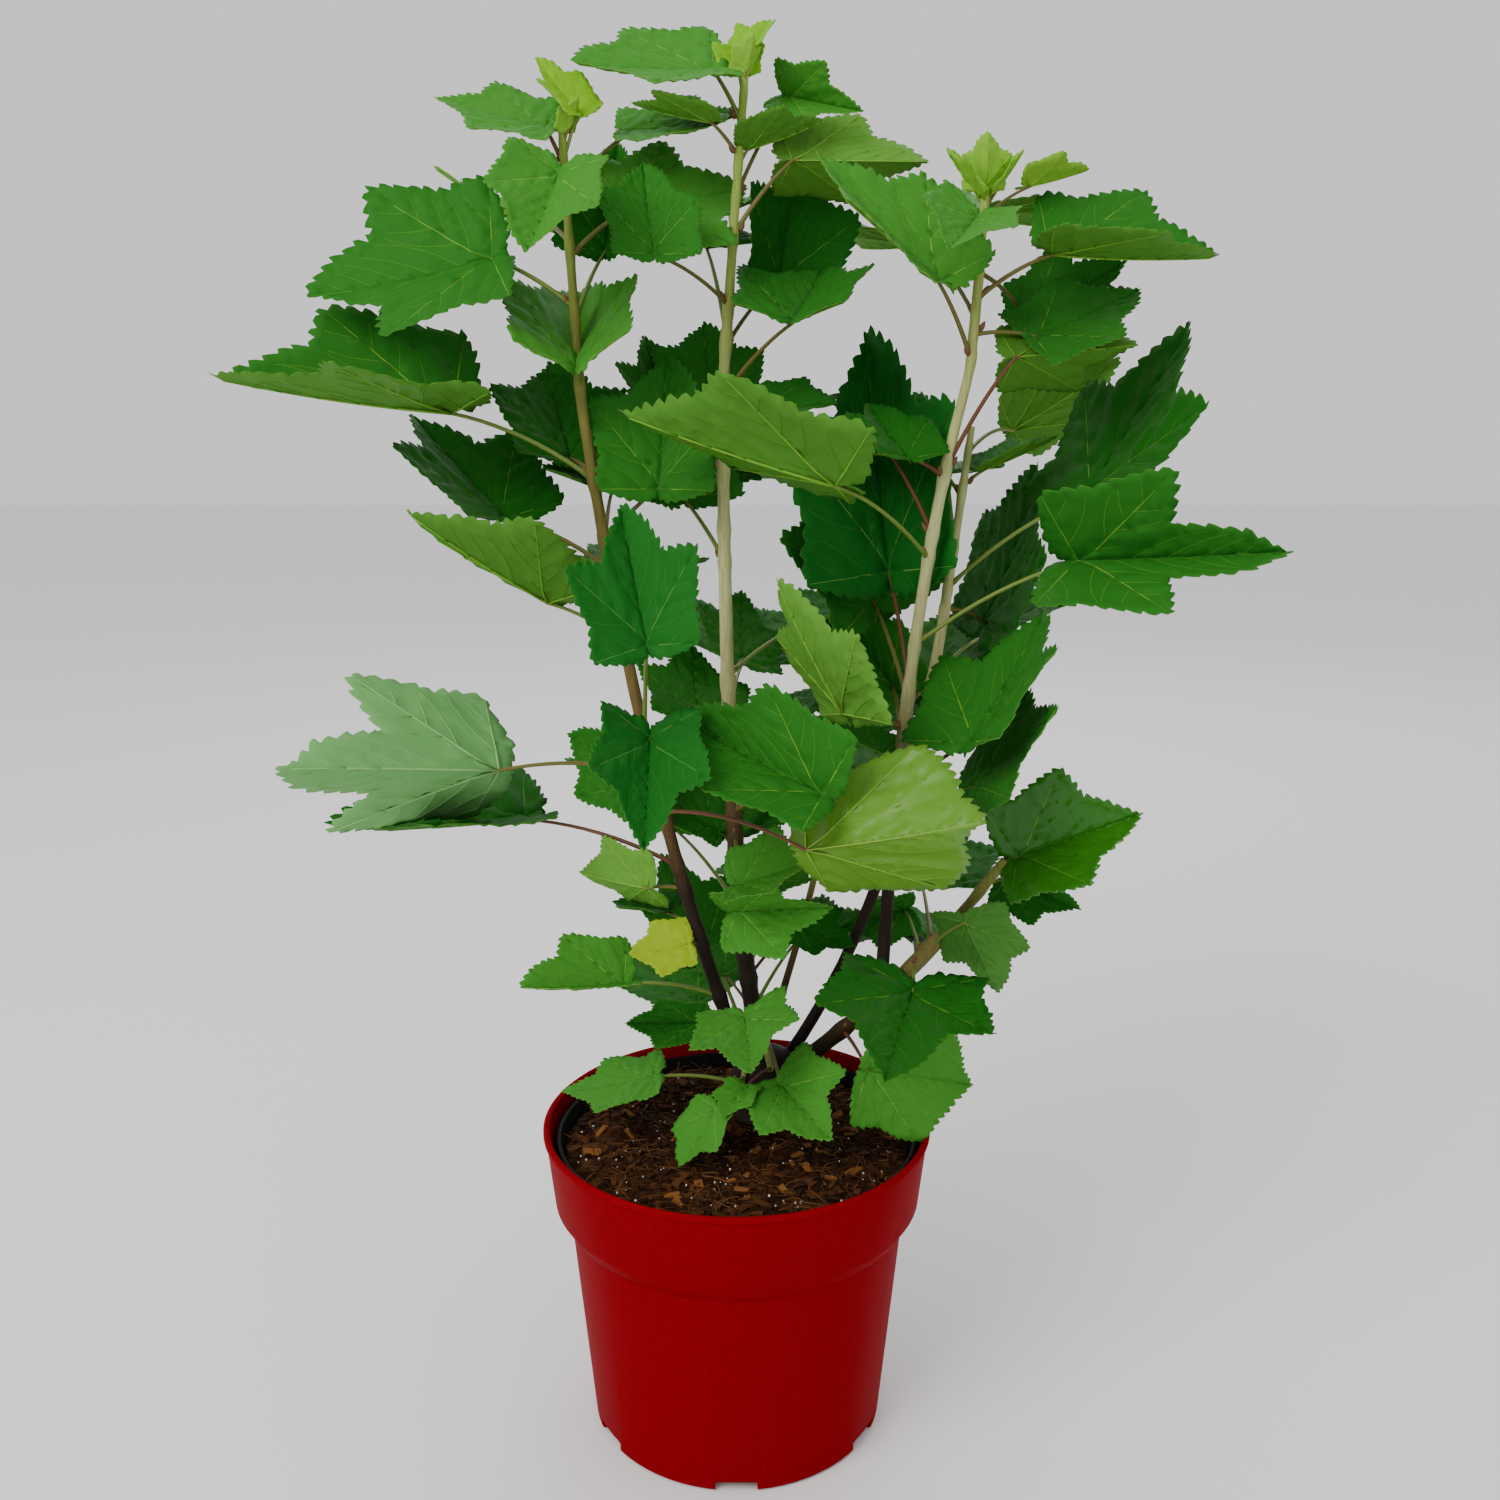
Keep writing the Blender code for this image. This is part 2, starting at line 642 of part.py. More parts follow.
class Obstacles:
    """Everything already in place, with a test for touching it."""

    def __init__(self):
        self.items = []

    def add(self, solid, owner):
        verts, faces = solid
        low = Vector([min(vert[axis] for vert in verts) for axis in range(3)])
        high = Vector([max(vert[axis] for vert in verts) for axis in range(3)])
        self.items.append((low, high, BVHTree.FromPolygons(verts, faces), owner))

    def touched(self, solid, skip):
        verts, faces = solid
        low = Vector([min(vert[axis] for vert in verts) for axis in range(3)])
        high = Vector([max(vert[axis] for vert in verts) for axis in range(3)])
        tree = None
        for other_low, other_high, other, owner in self.items:
            if owner in skip:
                continue
            if any(low[axis] > other_high[axis] or high[axis] < other_low[axis] for axis in range(3)):
                continue
            tree = tree or BVHTree.FromPolygons(verts, faces)
            if tree.overlap(other):
                return True
        return False

    def share_seen(self, verts):
        """Share of the points that nothing in place hides from the photo's viewpoint."""
        eye = in_metres(VIEWPOINT)
        seen = 0
        for vert in verts:
            way = eye - vert
            hidden = any(tree.ray_cast(vert, way.normalized(), way.length)[0] for _, _, tree, _ in self.items)
            seen += not hidden
        return seen / len(verts)


def place_leaf(stem, row, name, obstacles, most_seen=1.0):
    """The row as first moved to touch nothing, or None.

    A stalk may meet its own stem, a short-stalked blade too, and a young leaf its whole bud.
    No more than the share most_seen of the blade's corners may show from the viewpoint.
    """
    stem_tag = "stem of " + name
    leaf_tag = "leaf of " + name
    young = row[4] < YOUNG_BLADE
    stalk_skip = (stem_tag, leaf_tag) if young else (stem_tag,)
    sheet_skip = stalk_skip if young or row[2] < SHORT_STALK else ()
    for slide, turn, lift in MOVES:
        if slide and row[2] < SHORT_STALK:
            continue
        tried = turned(slid(stem, row, slide), turn, lift)
        stalk, sheet = leaf_solids(stem, tried, CLEARANCE * 0.5)
        if not inside_space(sheet[0]):
            continue
        if obstacles.touched(sheet, sheet_skip) or obstacles.touched(stalk, stalk_skip):
            continue
        if most_seen < 1.0 and obstacles.share_seen(sheet[0]) > most_seen:
            continue
        obstacles.add(stalk, leaf_tag)
        obstacles.add(sheet, leaf_tag)
        return tried
    return None


def hidden_rows(name, dice):
    """Rows of the leaf plan for the leaves that grow by rule on a mass's far side."""
    lowest, highest, count = HIDDEN[name]
    for index in range(count):
        node = lowest + (highest - lowest) * (index + 0.5) / count
        yield [hidden_row(node, dice) for _ in range(HIDDEN_TRIES)]


def hidden_row(node, dice):
    """One leaf at a node, with the rest drawn by the dice."""
    bearing = dice.uniform(*HIDDEN_BEARING)
    stalk = dice.uniform(*HIDDEN_STALK)
    rise = dice.uniform(*HIDDEN_RISE)
    length = dice.uniform(*HIDDEN_BLADE)
    heading = bearing + dice.uniform(*HIDDEN_TURN)
    pitch = dice.uniform(*HIDDEN_PITCH)
    return (node, bearing, stalk, rise, length, heading, pitch, dice.uniform(*HIDDEN_ROLL), HIDDEN_FOLD)


def grow_leaves(stems, obstacles):
    """The placed rows of every leaf that finds room, by the mass's name."""
    leaves = {name: [] for name in stems}
    for name, rows in LEAVES.items():
        for row in rows:
            placed = place_leaf(stems[name], row, name, obstacles)
            if placed:
                leaves[name].append(placed)
    dice = random.Random(SEED)
    for name in HIDDEN:
        for choices in hidden_rows(name, dice):
            for row in choices:
                placed = place_leaf(stems[name], row, name, obstacles, HIDDEN_SEEN)
                if placed:
                    leaves[name].append(placed)
                    break
    return leaves


def all_obstacles(limbs, stems):
    """The pot, the soil, the limbs and the stems, for leaves to keep clear of."""
    obstacles = Obstacles()
    for outline in (pot_outline(), liner_outline(), soil_outline()):
        obstacles.add(lathe(outline, POT_STEPS), "pot")
    for limb in limbs.values():
        obstacles.add(limb.solid(LIMB_SIDES), "limb")
    for name, stem in stems.items():
        obstacles.add(stem.solid(STEM_SIDES), "stem of " + name)
    return obstacles


def new_collection(name):
    """An empty collection in the scene."""
    group = bpy.data.collections.new(name)
    bpy.context.scene.collection.children.link(group)
    return group


def new_object(name, solid, group):
    """A mesh object made from vertices and faces, with its faces turned outward."""
    verts, faces = solid
    mesh = bpy.data.meshes.new(name)
    mesh.from_pydata([tuple(vert) for vert in verts], [], faces)
    shape = bmesh.new()
    shape.from_mesh(mesh)
    bmesh.ops.recalc_face_normals(shape, faces=shape.faces)
    shape.to_mesh(mesh)
    shape.free()
    obj = bpy.data.objects.new(name, mesh)
    group.objects.link(obj)
    return obj


def apply_boolean(obj, operation, cutters):
    """Join or cut obj with a collection's objects, which are then removed."""
    step = obj.modifiers.new("join", "BOOLEAN")
    step.operation = operation
    step.operand_type = "COLLECTION"
    step.collection = cutters
    step.solver = "MANIFOLD"
    graph = bpy.context.evaluated_depsgraph_get()
    mesh = bpy.data.meshes.new_from_object(obj.evaluated_get(graph))
    obj.modifiers.clear()
    obj.data = mesh
    for cutter in list(cutters.objects):
        bpy.data.objects.remove(cutter)
    bpy.data.collections.remove(cutters)


def keep_largest(obj):
    """Drop loose scraps and sealed hollows, leaving the one main shell."""
    shape = bmesh.new()
    shape.from_mesh(obj.data)
    left = set(shape.faces)
    shells = []
    while left:
        shell = set()
        front = [left.pop()]
        while front:
            face = front.pop()
            shell.add(face)
            for edge in face.edges:
                for other in edge.link_faces:
                    if other in left:
                        left.remove(other)
                        front.append(other)
        shells.append(shell)
    shells.sort(key=len)
    scraps = [face for shell in shells[:-1] for face in shell]
    if scraps:
        bmesh.ops.delete(shape, geom=scraps, context="FACES")
    shape.to_mesh(obj.data)
    shape.free()


def make_material(name):
    """A plain Principled material from the table of finishes."""
    colour, roughness, metallic = FINISHES[name]
    material = bpy.data.materials.new(name)
    material.use_nodes = True
    shader = material.node_tree.nodes["Principled BSDF"]
    shader.inputs["Base Color"].default_value = (*colour, 1.0)
    shader.inputs["Roughness"].default_value = roughness
    shader.inputs["Metallic"].default_value = metallic
    return material


def pot_outline():
    """Section of the red pot, from the middle of its underside out, up and back down inside."""
    inner_base = BASE_R - WALL - 1.0 * MM
    return [
        (0.0, 0.0),
        (CHANNEL_IN, 0.0),
        (CHANNEL_IN, CHANNEL_H),
        (CHANNEL_OUT, CHANNEL_H),
        (CHANNEL_OUT, 0.0),
        (BASE_R - FOOT_ROUND, 0.0),
        (BASE_R, FOOT_ROUND),
        (SHOULDER_R, SHOULDER_Z),
        (SHOULDER_R + 2.0 * MM, SHOULDER_Z + 1.0 * MM),
        (COLLAR_R, COLLAR_Z),
        (RIM_R - LIP_OUT, POT_H - LIP_H),
        (RIM_R, POT_H - LIP_H * 0.7),
        (RIM_R, POT_H - LIP_H * 0.25),
        (RIM_R - LIP_OUT, POT_H),
        (RIM_R - LIP_OUT - WALL, POT_H - LIP_H * 0.2),
        (COLLAR_R - WALL, COLLAR_Z + 2.0 * MM),
        (SHOULDER_R - WALL, SHOULDER_Z + 3.0 * MM),
        (inner_base + 1.5 * MM, CHANNEL_H + FLOOR + 5.0 * MM),
        (inner_base - 3.0 * MM, CHANNEL_H + FLOOR),
        (0.0, CHANNEL_H + FLOOR),
    ]


def inner_radius(height):
    """Inside radius of the red pot's wall at a height."""
    section = [(CHANNEL_H, BASE_R), (SHOULDER_Z, SHOULDER_R), (POT_H, RIM_R - LIP_OUT)]
    for (low, low_r), (high, high_r) in zip(section, section[1:]):
        if height <= high:
            break
    share = (height - low) / (high - low)
    return low_r + (high_r - low_r) * share - WALL


def liner_outline():
    """Section of the black inner pot, which stands on the red pot's floor."""
    floor = CHANNEL_H + FLOOR + GAP
    low_r = inner_radius(floor) - LINER_CLEAR - 2.0 * MM
    top_r = inner_radius(LINER_TOP) - LINER_CLEAR
    mid_r = inner_radius(SHOULDER_Z) - LINER_CLEAR
    return [
        (0.0, floor),
        (low_r, floor),
        (mid_r, SHOULDER_Z),
        (top_r, LINER_TOP - 3.0 * MM),
        (top_r + LINER_LIP, LINER_TOP - 2.0 * MM),
        (top_r + LINER_LIP, LINER_TOP),
        (top_r - LINER_WALL, LINER_TOP),
        (mid_r - LINER_WALL, SHOULDER_Z),
        (low_r - LINER_WALL, floor + LINER_WALL),
        (0.0, floor + LINER_WALL),
    ]


def soil_outline():
    """Section of the soil, a gap clear of the inner pot all round."""
    floor = CHANNEL_H + FLOOR + LINER_WALL + 2 * GAP
    inside = LINER_CLEAR + LINER_WALL + GAP
    edge_z = SOIL_TOP - SOIL_EDGE_DROP
    top_r = inner_radius(LINER_TOP) - inside
    mid_r = inner_radius(SHOULDER_Z) - inside
    low_r = inner_radius(floor) - inside - 2.4 * MM
    edge_r = mid_r + (top_r - mid_r) * (edge_z - SHOULDER_Z) / (LINER_TOP - SHOULDER_Z) - 0.2 * MM
    return [
        (0.0, floor),
        (low_r, floor),
        (mid_r, SHOULDER_Z),
        (edge_r, edge_z),
        (SOIL_FLAT_R, SOIL_TOP),
        (0.0, SOIL_TOP),
    ]


def box(centre, size, spin):
    """A box's vertices and faces, turned about the Z axis of the pot by spin degrees."""
    turn = Matrix.Rotation(math.radians(spin), 3, "Z")
    half = [value / 2 for value in size]
    verts = []
    for sign_x in (-1, 1):
        for sign_y in (-1, 1):
            for sign_z in (-1, 1):
                corner = Vector((sign_x * half[0], sign_y * half[1], sign_z * half[2]))
                verts.append(turn @ (Vector(centre) + corner))
    faces = [(0, 1, 3, 2), (4, 6, 7, 5), (0, 4, 5, 1), (2, 3, 7, 6), (0, 2, 6, 4), (1, 5, 7, 3)]
    return verts, faces


def make_pot(group):
    """The red pot with its drainage notches and holes."""
    pot = new_object("pot", lathe(pot_outline(), POT_STEPS), group)
    cutters = new_collection("pot cutters")
    for notch in range(NOTCHES):
        spin = -90.0 + 360.0 * notch / NOTCHES
        reach = BASE_R + 2.0 * MM - (CHANNEL_OUT - 3.0 * MM)
        middle = (CHANNEL_OUT - 3.0 * MM) + reach / 2
        low = (middle, 0.0, 0.0)
        new_object("notch", box(low, (reach, NOTCH_WIDE, CHANNEL_H * 2), spin), cutters)
        recess = (BASE_R + 5.0 * MM - RECESS_DEEP, 0.0, 0.0)
        new_object("recess", box(recess, (10.0 * MM, RECESS_WIDE, RECESS_H * 2), spin), cutters)
        new_object("drain", drain(spin + 180.0 / NOTCHES), cutters)
    for cutter in cutters.objects:
        cutter.hide_render = True
        cutter.display_type = "WIRE"
    apply_boolean(pot, "DIFFERENCE", cutters)
    return pot


def drain(spin):
    """A round cutter through both floors, over the channel."""
    middle = Matrix.Rotation(math.radians(spin), 3, "Z") @ Vector(((CHANNEL_IN + CHANNEL_OUT) / 2, 0, 0))
    points = [middle + Vector((0, 0, height * MM)) for height in (2.0, 14.0)]
    return tube(points, [DRAIN_R, DRAIN_R], 12)


def make_liner(group):
    """The black inner pot, with the same drainage holes."""
    liner = new_object("inner_pot", lathe(liner_outline(), POT_STEPS), group)
    cutters = new_collection("liner cutters")
    for notch in range(NOTCHES):
        cutter = new_object("drain", drain(-90.0 + 360.0 * (notch + 0.5) / NOTCHES), cutters)
        cutter.hide_render = True
        cutter.display_type = "WIRE"
    apply_boolean(liner, "DIFFERENCE", cutters)
    return liner


def cut_clear(obj, limbs, names):
    """Cut obj one gap clear of the named limbs."""
    cutters = new_collection("clearance cutters")
    for name in names:
        sides = LIMB_SIDES * 2 if name == "root_crown" else LIMB_SIDES
        cutter = new_object("clear", limbs[name].solid(sides, GAP), cutters)
        cutter.hide_render = True
        cutter.display_type = "WIRE"
    apply_boolean(obj, "DIFFERENCE", cutters)
    keep_largest(obj)


def make_limbs(limbs, group):
    """The root crown and the canes, each cut clear of the limb it stands on."""
    made = {}
    for name, limb in limbs.items():
        sides = LIMB_SIDES * 2 if name == "root_crown" else LIMB_SIDES
        made[name] = new_object(name, limb.solid(sides), group)
        if name != "root_crown":
            foot = CANES[name][0]
            cut_clear(made[name], limbs, [foot[0] if isinstance(foot[0], str) else "root_crown"])
    return made


def make_mass(name, stem, rows, limbs, group):
    """One mass of foliage: its stem with every stalk and blade fused on."""
    mass = new_object(name, stem.solid(STEM_SIDES), group)
    pieces = new_collection(name + " pieces")
    for row in rows:
        for solid in leaf_solids(stem, row):
            new_object("piece", solid, pieces)
    if rows:
        apply_boolean(mass, "UNION", pieces)
    if name in SIDE_SHOOTS:
        cut_clear(mass, limbs, [SIDE_SHOOTS[name][0]])
    keep_largest(mass)
    return mass


def clear_scene():
    """Remove what the start-up scene holds."""
    for obj in list(bpy.data.objects):
        bpy.data.objects.remove(obj)


def main():
    """Build the pot, the soil, the limbs and every mass of foliage."""
    clear_scene()
    group = new_collection(NAME)
    limbs = grow_limbs()
    stems = grow_stems(limbs)
    materials = {name: make_material(name) for name in FINISHES}
    made = {"pot_red": [make_pot(group)], "liner_black": [make_liner(group)]}
    made["soil_brown"] = [new_object("soil", lathe(soil_outline(), POT_STEPS), group)]
    made["bark_brown"] = list(make_limbs(limbs, group).values())
    leaves = grow_leaves(stems, all_obstacles(limbs, stems))
    made["leaf_green"] = [make_mass(name, stems[name], leaves[name], limbs, group) for name in stems]
    for finish, objects in made.items():
        for obj in objects:
            obj.data.materials.clear()
            obj.data.materials.append(materials[finish])
    print("leaves", sum(len(rows) for rows in leaves.values()))


main()
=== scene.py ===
"""Looks of the potted red currant: toothed leaves with veins, barked canes, soil and a smooth red pot.

Metres, +Z up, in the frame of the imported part. Bearings are degrees from +X, so 0 is the right,
180 the left, -90 the front and 90 the back. The growth plan below is the source's own, written
again, so every leaf here stands where the solid one does.
"""

import itertools
import json
import math
import random

import bpy
import numpy as np
from mathutils import Matrix, Vector, noise
from mathutils.bvhtree import BVHTree
from mathutils.geometry import delaunay_2d_cdt

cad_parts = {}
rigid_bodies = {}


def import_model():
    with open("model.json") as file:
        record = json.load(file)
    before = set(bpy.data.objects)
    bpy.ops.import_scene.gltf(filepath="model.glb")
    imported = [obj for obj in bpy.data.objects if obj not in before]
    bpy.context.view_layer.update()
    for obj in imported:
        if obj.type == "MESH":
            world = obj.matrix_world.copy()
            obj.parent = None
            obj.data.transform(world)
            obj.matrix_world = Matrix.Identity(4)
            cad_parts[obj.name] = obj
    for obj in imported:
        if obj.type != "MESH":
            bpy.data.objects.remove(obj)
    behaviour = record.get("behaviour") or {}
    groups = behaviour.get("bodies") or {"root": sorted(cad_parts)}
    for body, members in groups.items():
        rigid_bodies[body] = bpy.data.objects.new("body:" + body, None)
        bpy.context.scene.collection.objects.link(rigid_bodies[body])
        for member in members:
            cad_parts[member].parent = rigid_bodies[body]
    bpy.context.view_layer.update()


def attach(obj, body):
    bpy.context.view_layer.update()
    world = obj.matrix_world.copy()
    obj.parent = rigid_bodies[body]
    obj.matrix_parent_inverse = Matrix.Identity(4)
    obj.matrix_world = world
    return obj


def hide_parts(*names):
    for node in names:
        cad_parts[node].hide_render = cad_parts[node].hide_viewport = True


MM = 0.001
GAP = 0.3 * MM

# Red pot: outer radii and heights from the underside up
RIM_R = 95.0 * MM
COLLAR_R = 90.0 * MM
SHOULDER_R = 82.6 * MM
BASE_R = 72.4 * MM
POT_H = 157.0 * MM
COLLAR_Z = 119.0 * MM
SHOULDER_Z = 109.5 * MM
WALL = 1.8 * MM
LIP_OUT = 1.2 * MM
LIP_H = 4.0 * MM
FOOT_ROUND = 1.5 * MM
FLOOR = 2.5 * MM
POT_STEPS = 40

# Drainage under the pot
CHANNEL_IN = 48.0 * MM
CHANNEL_OUT = 60.0 * MM
CHANNEL_H = 5.0 * MM
NOTCH_WIDE = 20.0 * MM
RECESS_WIDE = 40.0 * MM
RECESS_DEEP = 0.8 * MM
RECESS_H = 6.5 * MM
NOTCHES = 6
DRAIN_R = 4.0 * MM

# Black inner pot that holds the soil
LINER_WALL = 1.0 * MM
LINER_CLEAR = 3.0 * MM
LINER_TOP = POT_H - 6.0 * MM
LINER_LIP = 1.0 * MM

# Soil and the foot of the plant
SOIL_TOP = 147.0 * MM
SOIL_EDGE_DROP = 3.0 * MM
SOIL_FLAT_R = 62.0 * MM
CROWN_X = 14.0 * MM
CROWN_Y = 26.0 * MM
CROWN_FOOT_R = 19.0 * MM
CROWN_TOP_R = 14.0 * MM
CROWN_H = 34.0 * MM
CROWN_FLARE_H = 6.0 * MM
CROWN_RINGS = 9

# Limbs and leaves
LIMB_SIDES = 8
LIMB_RINGS = 12
STEM_SIDES = 4
STEM_STEP = 25.0 * MM
LEADER_RINGS = 6
LEADER_BOW = 12.0 * MM
STALK_SIDES = 3
STALK_RINGS = 2
STALK_R = 1.15 * MM
STALK_END_R = 0.8 * MM
STALK_BOW = 0.12
STALK_SUNK = 0.14
SPUR_R = 1.9 * MM
SPUR_END_R = 1.2 * MM
SPUR_STAND_OFF = 3.4 * MM
SPUR_TAIL = 5.0 * MM
LEAF_THICK = 0.016
LEAF_THICK_MIN = 0.8 * MM
LEAF_CUP = 0.08
LEAF_CURL = 0.14
CLEARANCE = 1.0 * MM
SHORT_STALK = 20.0
YOUNG_BLADE = 30.0
SEED = 7479

# Half of a leaf's outline, from its tip to its base: bearing from the midrib in degrees,
# and reach as a share of the blade's length
LEAF_OUTLINE = (
    (0.0, 1.0),
    (13.0, 0.85),
    (27.0, 0.65),
    (46.0, 0.80),
    (72.0, 0.50),
    (100.0, 0.50),
    (138.0, 0.17),
)

# Where the midrib's mesh fans out from, and how far behind the heart the notch lies, as shares
# of the blade's length
FAN_CENTRE = 0.25
HEART_NOTCH = 0.04

# Canes: foot and tip as across, back and up in mm, how early it straightens, radius at foot and tip.
# A foot that names a limb starts on it, at that share of its length.
CANES = {
    "left_cane": ((5, 22, 172), (-67, -8, 500), 1.0, 3.8, 2.6),
    "middle_cane": ((13, 28, 172), (-6, 8, 500), 3.0, 5.2, 2.7),
    "low_right_limb": ((25, 19, 172), (112, -4, 271), 0.5, 4.6, 3.2),
    "right_cane": (("low_right_limb", 0.46), (103, 0, 515), -1.8, 3.4, 2.6),
    "back_right_cane": ((24, 35, 170), (99, 34, 400), 1.6, 3.2, 2.7),
    "back_shoot": ((11, 38, 168), (48, 62, 300), 0.6, 2.3, 1.6),
}

# Leading shoots that go on from a cane's tip: the cane, the shoot's tip and its end radius
LEADERS = {
    "left_top_foliage": ("left_cane", (-72, -12, 612), 1.5),
    "middle_top_foliage": ("middle_cane", (5, 6, 645), 1.4),
    "right_top_foliage": ("right_cane", (107, -2, 591), 1.5),
    "back_right_top_foliage": ("back_right_cane", (110, 36, 490), 1.6),
    "low_right_tip_foliage": ("low_right_limb", (126, -7, 292), 1.9),
    "back_shoot_foliage": ("back_shoot", (54, 76, 372), 1.0),
}

# Side shoots that run up beside a limb: the limb, and the bearing of the side they stand on
SIDE_SHOOTS = {
    "left_upper_foliage": ("left_cane", -80),
    "left_back_foliage": ("left_cane", 100),
    "left_middle_foliage": ("left_cane", -80),
    "left_lower_foliage": ("left_cane", -95),
    "left_lower_back_foliage": ("left_cane", 110),
    "middle_upper_foliage": ("middle_cane", 120),
    "middle_foliage": ("middle_cane", 80),
    "middle_front_foliage": ("middle_cane", -60),
    "middle_lower_foliage": ("middle_cane", -60),
    "middle_lower_back_foliage": ("middle_cane", 90),
    "right_upper_foliage": ("right_cane", -90),
    "right_upper_back_foliage": ("right_cane", 90),
    "right_middle_foliage": ("right_cane", -90),
    "right_middle_back_foliage": ("right_cane", 90),
    "right_lower_foliage": ("right_cane", -60),
    "back_right_foliage": ("back_right_cane", 60),
    "low_right_foliage": ("low_right_limb", -90),
    "low_right_back_foliage": ("low_right_limb", 90),
    "foot_left_foliage": ("root_crown", 232),
    "foot_front_foliage": ("root_crown", -80),
    "foot_back_foliage": ("root_crown", 150),
}

